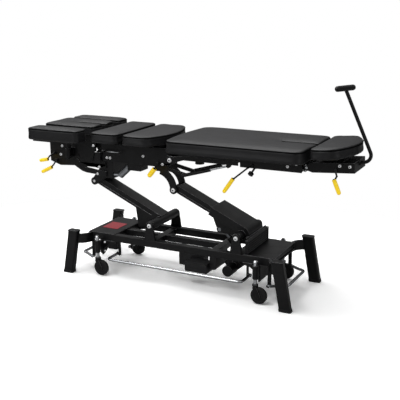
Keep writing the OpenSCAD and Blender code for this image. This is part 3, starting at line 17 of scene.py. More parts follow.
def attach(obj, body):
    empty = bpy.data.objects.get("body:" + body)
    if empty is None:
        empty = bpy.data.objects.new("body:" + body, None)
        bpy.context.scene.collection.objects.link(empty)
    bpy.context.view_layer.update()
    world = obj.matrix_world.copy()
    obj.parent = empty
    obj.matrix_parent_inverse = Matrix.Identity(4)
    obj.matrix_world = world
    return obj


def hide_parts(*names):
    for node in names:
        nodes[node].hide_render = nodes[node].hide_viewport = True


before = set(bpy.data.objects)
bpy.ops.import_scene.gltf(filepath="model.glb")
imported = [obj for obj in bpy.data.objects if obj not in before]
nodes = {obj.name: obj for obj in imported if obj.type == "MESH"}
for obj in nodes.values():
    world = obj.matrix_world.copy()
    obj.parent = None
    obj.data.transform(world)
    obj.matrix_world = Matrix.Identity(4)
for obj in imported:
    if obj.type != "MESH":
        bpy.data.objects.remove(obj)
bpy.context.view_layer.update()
scene = bpy.context.scene
print("parts in the frame:", len(nodes))

# %% [markdown]
# ## Places
# The maker's drawing measures along the table from the middle of the base, in millimetres. The frame's
# origin lies 61 mm from there, so one function turns a drawing place into a place in the scene. The foot
# section stands tilted at rest, so a second one first turns its places about its hinge.

# %% Places in millimetres
base_x = -61.0
foot_hinge_x = 795.0
foot_hinge_z = 806.0
foot_tilt = 4.0


def place(x, y, z):
    return Vector(((x + base_x) / 1000, y / 1000, z / 1000))


def tilted(x, y, z):
    """A place on the foot section, turned with it about its hinge."""
    a = math.radians(foot_tilt)
    dx = x - foot_hinge_x
    dz = z - foot_hinge_z
    return place(foot_hinge_x + dx * math.cos(a) - dz * math.sin(a), y,
                 foot_hinge_z + dx * math.sin(a) + dz * math.cos(a))


print("middle of the base in the scene:", [round(v, 3) for v in place(0, 0, 0)])

# %% [markdown]
# ## The camera
# The photograph was taken from a standing height, well off the foot end's near corner, with a short
# telephoto lens. The numbers come from lining the table's straight edges up with it. The three angles
# give the view's own right, up and back directions, which are written straight into the camera's
# matrix: a Track To constraint couldn't hold the slight roll.

# %% Camera
heading, height_angle, roll = (math.radians(v) for v in (26.93, 15.02, -0.45))
aim_height = 400
aim_right = 0.06836
aim_up = 0.1009
distance = 4.66085
focal_pixels = 744.45
picture_pixels = 400
back = Vector((math.sin(heading) * math.cos(height_angle),
               -math.cos(heading) * math.cos(height_angle), math.sin(height_angle)))
level = Vector((math.cos(heading), math.sin(heading), 0))
above = back.cross(level).normalized()
right = level * math.cos(roll) + above * math.sin(roll)
up = above * math.cos(roll) - level * math.sin(roll)
target = place(0, 0, aim_height) + right * aim_right + up * aim_up
spot = target + back * distance
camera = bpy.data.objects.new("camera", bpy.data.cameras.new("camera"))
camera.data.sensor_width = 36
camera.data.lens = focal_pixels * camera.data.sensor_width / picture_pixels
camera.data.clip_end = 60
camera.matrix_world = Matrix(((right.x, up.x, back.x, spot.x), (right.y, up.y, back.y, spot.y),
                              (right.z, up.z, back.z, spot.z), (0, 0, 0, 1)))
scene.collection.objects.link(camera)
scene.camera = camera
print("camera stands", [round(v, 3) for v in spot], "lens", round(camera.data.lens, 1))

# %% [markdown]
# ## Colours and nodes
# Screen colours are written as sRGB hex, and shaders want linear light, so one function turns one into
# the other. A second one adds a node with its settings and links, so that each material reads as a
# short recipe. Sockets that share a name are given by number: a Map Range takes its value in 0, where it
# comes from in 1 and 2 and where it goes in 3 and 4, and a colour Mix takes its two colours in 6 and 7.
# Most finishes wander between two tones in a fine pattern, which the last two functions make.

# %% Colour and node helpers


def srgb(text):
    raw = [int(text[i:i + 2], 16) / 255 for i in (1, 3, 5)]
    return [c / 12.92 if c <= 0.04045 else ((c + 0.055) / 1.055) ** 2.4 for c in raw] + [1.0]


def every(mm):
    """The scale of a pattern that repeats about every so many millimetres."""
    return 1000 / mm


def add(tree, kind, settings=None, inputs=None):
    made = tree.nodes.new(kind)
    for key, value in (settings or {}).items():
        setattr(made, key, value)
    for key, value in (inputs or {}).items():
        if isinstance(value, bpy.types.NodeSocket):
            tree.links.new(value, made.inputs[key])
        else:
            made.inputs[key].default_value = value
    return made


def new_material(name, settings):
    """A material with one glossy-over-base shader, and the object's own coordinates to draw on."""
    made = bpy.data.materials.new(name)
    made.use_nodes = True
    tree = made.node_tree
    tree.nodes.clear()
    shader = add(tree, "ShaderNodeBsdfPrincipled", inputs=settings)
    add(tree, "ShaderNodeOutputMaterial", inputs={"Surface": shader.outputs[0]})
    coords = add(tree, "ShaderNodeTexCoord").outputs["Object"]
    return made, tree, shader, coords


def tone(tree, value, low, high, first, second):
    """A colour that goes from the first to the second while a value goes from low to high."""
    share = add(tree, "ShaderNodeMapRange", inputs={0: value, 1: low, 2: high}).outputs[0]
    return add(tree, "ShaderNodeMix", {"data_type": "RGBA"}, {0: share, 6: first, 7: second}).outputs[2]


def two_tone(name, settings, dark, light, pattern, dent=None, texture="ShaderNodeTexNoise"):
    """A finish that wanders between two colours in a pattern, given by the texture's inputs.

    dent presses the pattern into the surface: its strength, and its depth in metres.
    """
    made, tree, shader, coords = new_material(name, settings)
    spots = add(tree, texture, inputs={"Vector": coords, **pattern}).outputs[0]
    tree.links.new(tone(tree, spots, 0.0, 1.0, srgb(dark), srgb(light)), shader.inputs["Base Color"])
    if dent:
        strength, depth = dent
        pressed = add(tree, "ShaderNodeBump",
                      inputs={"Height": spots, "Strength": strength, "Distance": depth})
        tree.links.new(pressed.outputs[0], shader.inputs["Normal"])
    print("finish", name, dark, "to", light)
    return made


# %% [markdown]
# ## Upholstery vinyl
# Vinyl is a soft PVC skin on cloth, pressed against a grained roller while warm. The eye reads it as
# black with a broad, soft shine, which breaks up in the fine pebble grain and in slow waves where the
# foam under it gives. The real grain is about 1 mm. That is finer than this view can show, so it is
# drawn at 2.5 mm, and the slow waves at about 90 mm. Where two cushions face each other or a slot is cut,
# the narrow space keeps the light out. That is painted shade: within about 30 mm of its neighbour the
# skin's colour is painted down to black, and its shine is turned down.

# %% Material: upholstery vinyl
vinyl, tree, shader, coords = new_material("upholstery_vinyl", {"Roughness": 0.44, "IOR": 1.46})
grain = add(tree, "ShaderNodeTexVoronoi", {"feature": "SMOOTH_F1"},
            {"Vector": coords, "Scale": every(2.5), "Smoothness": 0.35}).outputs["Distance"]
waves = add(tree, "ShaderNodeTexNoise", inputs={"Vector": coords, "Scale": every(90.9), "Detail": 3.0,
                                                "Roughness": 0.45}).outputs["Fac"]
nearby = add(tree, "ShaderNodeAmbientOcclusion", {"samples": 6}, {"Distance": 0.03}).outputs["AO"]
skin = tone(tree, waves, 0.3, 0.7, srgb("#141415"), srgb("#1b1b1d"))
# Painted shade: ambient occlusion turns the colour to black, and lowers the shine, in narrow gaps.
shaded = tone(tree, nearby, 0.35, 0.8, srgb("#020202"), skin)
tree.links.new(shaded, shader.inputs["Base Color"])
shine = add(tree, "ShaderNodeMapRange", inputs={0: nearby, 1: 0.3, 2: 0.75, 3: 0.0, 4: 0.4})
tree.links.new(shine.outputs[0], shader.inputs["Specular IOR Level"])
slow = add(tree, "ShaderNodeBump", inputs={"Height": waves, "Strength": 0.35, "Distance": 0.004})
fine = add(tree, "ShaderNodeBump", {"invert": True},
           {"Height": grain, "Normal": slow.outputs[0], "Strength": 0.22, "Distance": 0.0004})
tree.links.new(fine.outputs[0], shader.inputs["Normal"])
print("vinyl recipe:", len(tree.nodes), "nodes")

# %% [markdown]
# ## Welt and thread
# The top panel of each cushion is sewn to its side band over a thin folded strip, the welt. It sits in
# its own shadow, and its colour is painted near black, darker than the vinyl, as painted shade, so it
# reads as a dark line. The thread is bonded nylon, a shade paler. Both could be painted on the cover as
# a line, but a real strip keeps its thickness in a close view.

# %% Materials: welt and thread
# Painted shade: the welt's near-black colour stands in for the shadow along the seam.
welt = two_tone("welt_strip_painted_shade", {"Roughness": 0.9, "Specular IOR Level": 0.05}, "#020202", "#070708",
                {"Scale": every(3.85), "Detail": 2.0})
thread = two_tone("bonded_thread", {"Roughness": 0.55}, "#303032", "#48484b",
                  {"Scale": every(1.11), "Detail": 1.0})

# %% [markdown]
# ## Powder coat
# The frame is steel with a baked black powder coat. Under light it shows a satin shine with a slight
# orange peel, about 2 mm from dimple to dimple, and edges that catch a thin line of light because the
# coat rounds them. A bevel in the shader rounds the edges' normals without changing the steel. Where the
# rounded normal leans away from the flat one and upwards, the colour is painted pale grey: a painted
# highlight along the upper edges.

# %% Material: black powder coat
powder, tree, shader, coords = new_material(
    "black_powder_coat", {"Roughness": 0.4, "IOR": 1.45, "Specular IOR Level": 0.38})
cloud = add(tree, "ShaderNodeTexNoise",
            inputs={"Vector": coords, "Scale": every(71.4), "Detail": 4.0}).outputs["Fac"]
peel = add(tree, "ShaderNodeTexNoise",
           inputs={"Vector": coords, "Scale": every(2.083), "Detail": 1.5}).outputs["Fac"]
edge = add(tree, "ShaderNodeBevel", {"samples": 6}, {"Radius": 0.003}).outputs[0]
satin = add(tree, "ShaderNodeMapRange", inputs={0: cloud, 1: 0.3, 2: 0.7, 3: 0.34, 4: 0.46})
tree.links.new(satin.outputs[0], shader.inputs["Roughness"])
dimples = add(tree, "ShaderNodeBump",
              inputs={"Height": peel, "Normal": edge, "Strength": 0.12, "Distance": 0.0004})
tree.links.new(dimples.outputs[0], shader.inputs["Normal"])
flat = add(tree, "ShaderNodeNewGeometry").outputs["True Normal"]
same = add(tree, "ShaderNodeVectorMath", {"operation": "DOT_PRODUCT"},
           {0: edge, 1: flat}).outputs["Value"]
lean = add(tree, "ShaderNodeSeparateXYZ", inputs={0: edge}).outputs["Z"]
rounded_off = add(tree, "ShaderNodeMapRange", inputs={0: same, 1: 0.99, 2: 0.86}).outputs[0]
upward = add(tree, "ShaderNodeMapRange", inputs={0: lean, 1: 0.15, 2: 0.5}).outputs[0]
painted_edge_highlight = add(tree, "ShaderNodeMath", {"operation": "MULTIPLY"}, {0: rounded_off, 1: upward}).outputs[0]
coat = tone(tree, cloud, 0.3, 0.75, srgb("#080809"), srgb("#0f0f11"))
# Painted highlight: the upper rounded edges are coloured pale grey, a line of light painted into the
# coat.
tree.links.new(tone(tree, painted_edge_highlight, 0.0, 1.0, coat, srgb("#8c8c8e")), shader.inputs["Base Color"])
print("powder coat recipe:", len(tree.nodes), "nodes")

# %% [markdown]
# ## Bright metals
# The pedal bars and castor stems are chrome plated and polished, so they mirror the white studio and
# the dark table. Towards the sides of a bar the plating mirrors the table's dark underside, and a darker
# colour painted in at glancing angles adds to it: a painted reflection. The lift rod and the air cylinder
# are zinc plated: greyer, with the small crystals of the plating. Bolt heads are bright zinc, with a
# faint glow painted on them, painted light that keeps them bright.

# %% Materials: chrome and zinc
chrome, tree, shader, coords = new_material("polished_chrome", {"Metallic": 1.0, "Roughness": 0.09})
bloom = add(tree, "ShaderNodeTexNoise",
            inputs={"Vector": coords, "Scale": every(33.3), "Detail": 3.0}).outputs["Fac"]
turned_away = add(tree, "ShaderNodeLayerWeight", inputs={"Blend": 0.5}).outputs["Facing"]
plated = tone(tree, bloom, 0.0, 1.0, srgb("#c4c7cb"), srgb("#dcdee0"))
# Painted reflection: at glancing angles the chrome's colour goes to a dark grey.
tree.links.new(tone(tree, turned_away, 0.3, 0.8, plated, srgb("#3a3b3d")), shader.inputs["Base Color"])
polish = add(tree, "ShaderNodeMapRange", inputs={0: bloom, 1: 0.35, 2: 0.7, 3: 0.07, 4: 0.16})
tree.links.new(polish.outputs[0], shader.inputs["Roughness"])
print("chrome recipe:", len(tree.nodes), "nodes")

zinc = two_tone("zinc_plated_steel", {"Metallic": 1.0, "Roughness": 0.36}, "#85888c", "#a6a9ad",
                {"Scale": every(4.55)}, texture="ShaderNodeTexVoronoi")
# Painted light: a faint white emission makes the bolt heads glow as bright dots.
glowing_bolt_zinc = two_tone("bright_zinc_bolt_glowing", {"Metallic": 0.3, "Roughness": 0.38, "Emission Strength": 0.15},
                     "#dcdee0", "#f4f5f6", {"Scale": every(2), "Detail": 2.0})

# %% [markdown]
# ## Dipped grips, rubber and moulded plastic
# The lever grips are steel rod dipped in warm yellow PVC: a thick, glossy, slightly uneven skin, with a
# yellow glow painted on it, painted light that keeps the grips bright in shade. The castor tyres and feet
# are dull black rubber, with fine mould bloom. The control box, the gear housing and the knob are moulded
# black plastic with a light spark texture, about 1.5 mm. The red plate is enamelled: an even colour under
# a thin clear coat.

# %% Materials: dipped PVC, rubber, moulded plastic, red plate
# Painted light: the grips' yellow emission makes them glow, though they are no lamp.
dip = two_tone("dipped_yellow_pvc",
               {"Roughness": 0.28, "IOR": 1.52, "Coat Weight": 0.35, "Coat Roughness": 0.12,
                "Emission Color": srgb("#f6cf1c"), "Emission Strength": 0.42},
               "#ffd21a", "#ffe434", {"Scale": every(22.2), "Detail": 2.0}, dent=(0.2, 0.001))
rubber = two_tone("moulded_rubber", {"Roughness": 0.8}, "#0a0a0b", "#151516",
                  {"Scale": every(8.33), "Detail": 5.0}, dent=(0.25, 0.0005))
moulded = two_tone("moulded_abs", {"Roughness": 0.5}, "#0e0e10", "#161619",
                   {"Scale": every(1.54), "Detail": 1.0}, dent=(0.15, 0.0004))
red_enamel = two_tone("red_enamel_plate", {"Roughness": 0.35, "Coat Weight": 0.2}, "#b3152a", "#c81f36",
                      {"Scale": every(25), "Detail": 2.0})

# %% [markdown]
# ## Dress the steel
# A part whose shape is right keeps its mesh and only gets its finish. Most are powder coated, so that
# is the rule, and the exceptions are listed. The air cylinder's upper end is powder coated too, and its
# faces are picked by their place.

# %% Finish of each part
finish = {}
for name in ("head_castor_stems", "foot_castor_stems", "near_foot_bar", "far_foot_bar", "head_loop_bar",
             "foot_loop_bar", "strut_rods", "foot_slide"):
    finish[name] = chrome
for name in ("lift_rod", "drop_actuator"):
    finish[name] = zinc
for name in ["rubber_feet"] + [f"castor_wheel_{k}" for k in (1, 2, 3, 4)]:
    finish[name] = rubber
for name in ("control_box", "tension_knob"):
    finish[name] = moulded
for name, part in nodes.items():
    part.data.materials.clear()
    part.data.materials.append(finish.get(name, powder))
upper_end = place(-374, 0, 681)
actuator = nodes["drop_actuator"].data
actuator.materials.append(powder)
for face in actuator.polygons:
    if face.center.z > upper_end.z and face.center.x > upper_end.x:
        face.material_index = 1
print("parts with their own finish:", len(finish))

# %% [markdown]
# ## Cushions
# Each cushion is foam on a board, under a stretched vinyl cover. The solid model has its outline, its
# crown and its drawn-in band. The cover's fullness could be sculpted, but a short cloth simulation gives
# it with the right tension: the form is made a little smaller, remeshed to even faces, and blown up by a
# low pressure while its underside stays on the board. A cap keeps every point within 3.5 mm of the form,
# as firm foam does, and evening the moves out over neighbouring points keeps the cover free of puckers.

# %% Helpers for meshes


def new_object(name, mesh, materials):
    for material in materials:
        mesh.materials.append(material)
    made = bpy.data.objects.new(name, mesh)
    scene.collection.objects.link(made)
    return made


def carried(thing, body):
    """The piece moves with a body: it is parented to that body's empty."""
    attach(thing, body)
    return thing


def islands(node):
    """The separate shells of a part, each as its own merged mesh, the highest one first."""
    whole = bmesh.new()
    whole.from_mesh(nodes[node].data)
    bmesh.ops.remove_doubles(whole, verts=whole.verts, dist=1e-6)
    whole.verts.ensure_lookup_table()
    seen = set()
    shells = []
    for start in whole.verts:
        if start.index in seen:
            continue
        stack = [start]
        shell = set()
        while stack:
            v = stack.pop()
            if v.index in shell:
                continue
            shell.add(v.index)
            stack.extend(e.other_vert(v) for e in v.link_edges)
        seen |= shell
        order = {index: k for k, index in enumerate(sorted(shell))}
        faces = [[order[v.index] for v in f.verts] for f in whole.faces if f.verts[0].index in shell]
        mesh = bpy.data.meshes.new(node)
        mesh.from_pydata([whole.verts[i].co[:] for i in sorted(shell)], [], faces)
        shells.append(mesh)
    whole.free()
    return sorted(shells, key=lambda m: -max(v.co.z for v in m.vertices))


def applied(thing):
    """The same object, with its modifiers worked out into a plain mesh."""
    view = bpy.context.evaluated_depsgraph_get()
    made = bpy.data.meshes.new_from_object(thing.evaluated_get(view), depsgraph=view)
    thing.modifiers.clear()
    thing.data = made
    return thing


def points_of(mesh, kind="co"):
    """The places of a mesh's points as an array, or their normals."""
    row = np.zeros(len(mesh.vertices) * 3)
    mesh.vertices.foreach_get(kind, row)
    return row.reshape(-1, 3)


def put_points(mesh, co):
    mesh.vertices.foreach_set("co", co.ravel())
    mesh.update()


# %% The cover: remesh, blow up, cap, even out
# Lengths in metres: how far the form is drawn in first, how much of it rests on the board, and the cap.
drawn_in = 0.0022
board_height = 0.006
cover_cap = 0.0035
even_rounds = 40
blow_frames = 20
blow = {"use_pressure": True, "uniform_pressure_force": 4, "vertex_group_mass": "board", "quality": 4,
        "tension_stiffness": 25, "compression_stiffness": 12, "shear_stiffness": 6,
        "bending_stiffness": 0.6}


def spread(mesh, move, rounds):
    """Evens out a move over neighbouring points, so that the cover stays taut, without puckers."""
    ends = np.zeros(len(mesh.edges) * 2, dtype=int)
    mesh.edges.foreach_get("vertices", ends)
    a, b = ends.reshape(-1, 2).T
    count = np.bincount(ends, minlength=len(move))[:, None]
    for _ in range(rounds):
        near = np.zeros_like(move)
        np.add.at(near, a, move[b])
        np.add.at(near, b, move[a])
        move = (move + near / count) / 2
    return move


def blow_up(piece):
    """Blows the cover up over its form, by less than the cap, while its underside stays on the board."""
    mesh = piece.data
    rest = points_of(mesh)
    board = piece.vertex_groups.new(name="board")
    low = rest[:, 2] < rest[:, 2].min() + board_height
    board.add([int(i) for i in np.nonzero(low)[0]], 1.0, "REPLACE")
    cloth = piece.modifiers.new("cover", "CLOTH")
    cloth.settings.effector_weights.gravity = 0
    for key, value in blow.items():
        setattr(cloth.settings, key, value)
    for step in range(1, blow_frames + 1):
        scene.frame_set(step)
    view = bpy.context.evaluated_depsgraph_get()
    move = points_of(piece.evaluated_get(view).data) - rest
    piece.modifiers.clear()
    scene.frame_set(1)
    far = np.linalg.norm(move, axis=1, keepdims=True)
    move = spread(mesh, move * np.minimum(1, cover_cap / np.maximum(far, 1e-9)), even_rounds)
    put_points(mesh, rest + move)
    print(piece.name, "moved up to", round(float(np.linalg.norm(move, axis=1).max() * 1000), 1), "mm")
    piece.vertex_groups.clear()


def cover(mesh, name, voxel, finer):
    piece = new_object(name, mesh, [vinyl])
    co = points_of(mesh)
    low = co.min(0)
    high = co.max(0)
    middle = (low + high) / 2
    inset = 1 - 2 * drawn_in / (high - low)
    inset[2] = 1
    put_points(mesh, middle + (co - middle) * inset)
    remesh = piece.modifiers.new("even faces", "REMESH")
    remesh.mode = "VOXEL"
    remesh.voxel_size = voxel
    applied(piece)
    blow_up(piece)
    piece.data.shade_smooth()
    if finer:
        piece.modifiers.new("finer", "SUBSURF").levels = 1
        applied(piece)
        piece.data.shade_smooth()
    piece.data.materials.clear()
    piece.data.materials.append(vinyl)
    return piece


# %% [markdown]
# ## Seams
# A seam follows the cover all the way round, just under the top edge. Cutting the finished cover with
# a plane gives that path exactly, slots included, which a path drawn by hand wouldn't. The groove is
# pressed into the cover first. Then a Geometry Nodes tree sweeps the welt along the path and sets
# stitches beside it: sizes are named inputs, and the tree ends with real meshes, not instances.

# %% The path of a seam


def seam_loop(mesh, origin, normal):
    """The longest closed path where a plane cuts the cover."""
    cut = bmesh.new()
    cut.from_mesh(mesh)
    found = bmesh.ops.bisect_plane(cut, geom=cut.verts[:] + cut.edges[:] + cut.faces[:], dist=1e-6,
                                   plane_co=origin, plane_no=normal)["geom_cut"]
    beside = {}
    for line in found:
        if isinstance(line, bmesh.types.BMEdge):
            first, second = line.verts
            beside.setdefault(first, []).append(second)
            beside.setdefault(second, []).append(first)
    best = []
    used = set()
    for start in beside:
        if start in used:
            continue
        path = []
        ahead = [start]
        while ahead:
            here = ahead[0]
            used.add(here)
            path.append(here)
            ahead = [v for v in beside[here] if v not in used]
        if len(path) > len(best):
            best = path
    loop = [v.co.copy() for v in best]
    cut.free()
    return loop


def press_groove(mesh, origin, normal, depth, half):
    """Presses a narrow groove into the cover along the plane, towards the inside."""
    co = points_of(mesh)
    out = points_of(mesh, "normal")
    n = np.array(normal)
    far = np.abs((co - np.array(origin)) @ n)
    out = out - np.outer(out @ n, n)
    put_points(mesh, co - out * (depth * np.clip(1 - far / half, 0, 1))[:, None])


# %% The tree that sews a seam
welt_radius = 0.0038
seam_sizes = {"Welt radius": welt_radius, "Stitch pitch": 0.008, "Stitch length": 0.0052,
              "Stitch radius": 0.0006, "Stitch drop": 0.0065}
welt_step = 0.006
welt_sides = 8
stitch_sides = 6


def new_tree(name, wanted):
    """A Geometry Nodes tree with its named inputs: a size in metres each, or None for an object."""
    tree = bpy.data.node_groups.new(name, "GeometryNodeTree")
    face = tree.interface
    face.new_socket("Geometry", in_out="INPUT", socket_type="NodeSocketGeometry")
    for label, value in wanted.items():
        kind = "NodeSocketObject" if value is None else "NodeSocketFloat"
        face.new_socket(label, in_out="INPUT", socket_type=kind).default_value = value
    face.new_socket("Geometry", in_out="OUTPUT", socket_type="NodeSocketGeometry")
    return tree, add(tree, "NodeGroupInput").outputs


def sewing_tree():
    tree, given = new_tree("sewn seam", seam_sizes)
    path = add(tree, "GeometryNodeMeshToCurve", inputs={0: given["Geometry"]}).outputs[0]
    even = add(tree, "GeometryNodeResampleCurve", {"mode": "LENGTH"},
               {"Curve": path, "Length": welt_step})
    ring = add(tree, "GeometryNodeCurvePrimitiveCircle",
               inputs={"Resolution": welt_sides, "Radius": given["Welt radius"]})
    strip = add(tree, "GeometryNodeCurveToMesh",
                inputs={"Curve": even.outputs[0], "Profile Curve": ring.outputs[0]})
    strip = add(tree, "GeometryNodeSetMaterial", inputs={"Geometry": strip.outputs[0], "Material": welt})
    along = add(tree, "GeometryNodeResampleCurve", {"mode": "LENGTH"},
                {"Curve": path, "Length": given["Stitch pitch"]})
    dots = add(tree, "GeometryNodeCurveToPoints", {"mode": "EVALUATED"}, {"Curve": along.outputs[0]})
    stitch = add(tree, "GeometryNodeMeshCylinder", {"fill_type": "TRIANGLE_FAN"},
                 {"Vertices": stitch_sides, "Radius": given["Stitch radius"],
                  "Depth": given["Stitch length"]})
    turned = add(tree, "FunctionNodeAlignRotationToVector", {"axis": "Z"},
                 {"Vector": dots.outputs["Tangent"]})
    sewn = add(tree, "GeometryNodeInstanceOnPoints",
               inputs={"Points": dots.outputs["Points"], "Instance": stitch.outputs[0],
                       "Rotation": turned.outputs[0]})
    less = add(tree, "ShaderNodeMath", {"operation": "MULTIPLY"}, {0: given["Stitch drop"], 1: -1.0})
    down = add(tree, "ShaderNodeCombineXYZ", inputs={"Z": less.outputs[0]})
    lower = add(tree, "GeometryNodeTranslateInstances",
                inputs={"Instances": sewn.outputs[0], "Translation": down.outputs[0],
                        "Local Space": False})
    real = add(tree, "GeometryNodeRealizeInstances", inputs={0: lower.outputs[0]})
    sewn = add(tree, "GeometryNodeSetMaterial", inputs={"Geometry": real.outputs[0], "Material": thread})
    both = add(tree, "GeometryNodeJoinGeometry")
    tree.links.new(strip.outputs[0], both.inputs[0])
    tree.links.new(sewn.outputs[0], both.inputs[0])
    add(tree, "NodeGroupOutput", inputs={0: both.outputs[0]})
    return tree


def run_tree(thing, tree, values):
    """Runs a Geometry Nodes tree on an object with its named inputs, and keeps the plain mesh."""
    step = thing.modifiers.new("tree", "NODES")
    step.node_group = tree
    for item in tree.interface.items_tree:
        if item.item_type == "SOCKET" and item.in_out == "INPUT" and item.name in values:
            step[item.identifier] = values[item.name]
    return applied(thing)


sewing = sewing_tree()
print("sewing tree:", len(sewing.nodes), "nodes, a stitch every", seam_sizes["Stitch pitch"] * 1000, "mm")

# %% Make every cushion
# Lengths in metres. The finer voxel is for the three cushions of the head section.
seam_drop = 0.009
groove_depth = 0.003
groove_half = 0.008
fine_voxel = 0.0045
plain_voxel = 0.005


def make_cushion(node, body, top, voxel, finer=True, angle=0.0):
    shells = islands(node)
    piece = cover(shells[0], f"{node}_cover", voxel, finer)
    a = math.radians(angle)
    normal = Vector((-math.sin(a), 0, math.cos(a)))
    origin = top - normal * seam_drop
    press_groove(piece.data, origin, normal, groove_depth, groove_half)
    loop = seam_loop(piece.data, origin, normal)
    count = len(loop)
    line = bpy.data.meshes.new(f"{node}_seam")
    line.from_pydata([v[:] for v in loop], [(k, (k + 1) % count) for k in range(count)], [])
    seam = run_tree(new_object(f"{node}_seam", line, []), sewing, {"Welt radius": welt_radius})
    made = [carried(piece, body), carried(seam, body)]
    for k, mesh in enumerate(shells[1:]):
        made.append(carried(new_object(f"{node}_board_{k + 1}", mesh, [powder]), body))
    for thing in made:
        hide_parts(node)
    print(node, "seam points", count, "faces", len(piece.data.polygons), "seam faces",
          len(seam.data.polygons))


make_cushion("face_cushion", "head", place(-900, 0, 941), fine_voxel)
make_cushion("armrest_1", "armrest_1", place(-800, -240, 938), fine_voxel)
make_cushion("armrest_2", "armrest_2", place(-800, 240, 938), fine_voxel)
make_cushion("chest_cushion", "chest", place(-450, 0, 929), plain_voxel)
make_cushion("pelvic_cushion", "pelvis", place(-230, 0, 927), plain_voxel)
make_cushion("leg_cushion", "leg_section", place(300, 0, 924), plain_voxel, finer=False)
make_cushion("foot_cushion", "foot_section", tilted(850, 0, 932), plain_voxel, angle=foot_tilt)

# %% [markdown]
# ## Dipped lever grips
# Each lever ends in a thick yellow sleeve. It is turned from a profile: a small rolled lip where the
# dip ends on the rod, a body that swells slightly, and a round end. A cylinder with rounded edges would
# be quicker, but a turned profile gives clean highlights along the grip.

# %% Turned sleeves
lip_shares = [(-0.6, 0.5), (-0.62, 0.9), (-0.4, 1.08), (-0.15, 1.08), (0.05, 1.0)]
body_shares = (0.15, 0.35, 0.55, 0.75, 0.9)
swell_share = 0.06
end_angles = (0, 20, 40, 60, 75)
sleeve_sides = 28


def circle(radius, height, sides):
    turns = [2 * math.pi * k / sides for k in range(sides)]
    return [(radius * math.cos(a), radius * math.sin(a), height) for a in turns]


def closed_rings(name, rings, tip=None):
    """A closed mesh: walls from ring to ring, a lid on the first, and a tip or a lid on the last."""
    shape = bmesh.new()
    loops = [[shape.verts.new(point) for point in ring] for ring in rings]
    sides = len(loops[0])
    for lower, upper in zip(loops, loops[1:]):
        for k in range(sides):
            shape.faces.new((lower[k], lower[(k + 1) % sides], upper[(k + 1) % sides], upper[k]))
    if tip:
        point = shape.verts.new(tip)
        for k in range(sides):
            shape.faces.new((loops[-1][k], loops[-1][(k + 1) % sides], point))
    else:
        shape.faces.new(loops[-1])
    shape.faces.new(loops[0][::-1])
    bmesh.ops.recalc_face_normals(shape, faces=shape.faces)
    mesh = bpy.data.meshes.new(name)
    shape.to_mesh(mesh)
    shape.free()
    return mesh


def sleeve(name, body, start, end, radius):
    length = (end - start).length
    profile = [(along * radius, across * radius) for along, across in lip_shares]
    profile += [(length * t, radius * (1 + swell_share * math.sin(math.pi * t))) for t in body_shares]
    profile += [(length + radius * math.sin(a), radius * math.cos(a))
                for a in map(math.radians, end_angles)]
    mesh = closed_rings(name, [circle(across, along, sleeve_sides) for along, across in profile],
                        tip=(0, 0, length + radius))
    turn = (end - start).to_track_quat("Z", "Y").to_matrix().to_4x4()
    mesh.transform(Matrix.Translation(start) @ turn)
    mesh.shade_smooth()
    carried(new_object(name, mesh, [dip]), body)
    print(name, "length", round(length * 1000), "mm, faces", len(mesh.polygons))


dip_growth = 0.0004
slim = 0.011 + dip_growth
stout = 0.014 + dip_growth
sleeve("head_grip_1", "head_lever_1", place(-948, -172, 713), place(-999, -172, 702), slim)
sleeve("head_grip_2", "head_lever_2", place(-920, -172, 661), place(-988, -172, 628), slim)
sleeve("drop_grip", "drop_lever", place(-166, -138, 710), place(-196, -138, 673), stout)
sleeve("swing_grip", "swing_lever", place(365, -150, 704), place(313, -150, 630), slim)
sleeve("foot_grip", "foot_lever", place(962, -132, 754), place(990, -132, 689), slim)

# %% [markdown]
# ## Bolt heads
# Bright button-head bolts hold the pivots and plates. One head is turned with a hex socket, and a
# Geometry Nodes tree sets it on a cloud of points: each point carries the way it faces and its size.
# Copies placed one by one would do as well, but the points keep each body's bolts in one short list.

# %% One button head
dome_shares = [(1.0, 0.0), (1.0, 0.24), (0.95, 0.5), (0.84, 0.74), (0.68, 0.92), (0.52, 1.0), (0.44, 1.0)]
socket_shares = (1.0, 0.4)
socket_flat_share = 0.34
head_sides = 24


def hexagon(flat, height, sides):
    """A hexagon's outline, with as many points as the round rings beside it."""
    ring = []
    for k in range(sides):
        a = 2 * math.pi * k / sides
        out = flat / math.cos((a + math.pi / 6) % (math.pi / 3) - math.pi / 6)
        ring.append((out * math.cos(a), out * math.sin(a), height))
    return ring


head_mesh = closed_rings("button_head",
                         [circle(across, height, head_sides) for across, height in dome_shares]
                         + [hexagon(socket_flat_share, height, head_sides) for height in socket_shares])
print("button head: faces", len(head_mesh.polygons))

# %% The tree that sets bolts
head_height = 0.0078


def bolting_tree():
    tree, given = new_tree("set bolts", {"Bolt": None, "Head height": head_height})
    head = add(tree, "GeometryNodeObjectInfo", inputs={"Object": given["Bolt"]})
    faces = add(tree, "GeometryNodeInputNamedAttribute", {"data_type": "FLOAT_VECTOR"},
                {"Name": "facing"})
    size = add(tree, "GeometryNodeInputNamedAttribute", {"data_type": "FLOAT"}, {"Name": "size"})
    turned = add(tree, "FunctionNodeAlignRotationToVector", {"axis": "Z"}, {"Vector": faces.outputs[0]})
    scale = add(tree, "ShaderNodeCombineXYZ",
                inputs={0: size.outputs[0], 1: size.outputs[0], 2: given["Head height"]})
    made = add(tree, "GeometryNodeInstanceOnPoints",
               inputs={"Points": given["Geometry"], "Instance": head.outputs["Geometry"],
                       "Rotation": turned.outputs[0], "Scale": scale.outputs[0]})
    real = add(tree, "GeometryNodeRealizeInstances", inputs={0: made.outputs[0]})
    coat = add(tree, "GeometryNodeSetMaterial",
               inputs={"Geometry": real.outputs[0], "Material": glowing_bolt_zinc})
    add(tree, "NodeGroupOutput", inputs={0: coat.outputs[0]})
    return tree


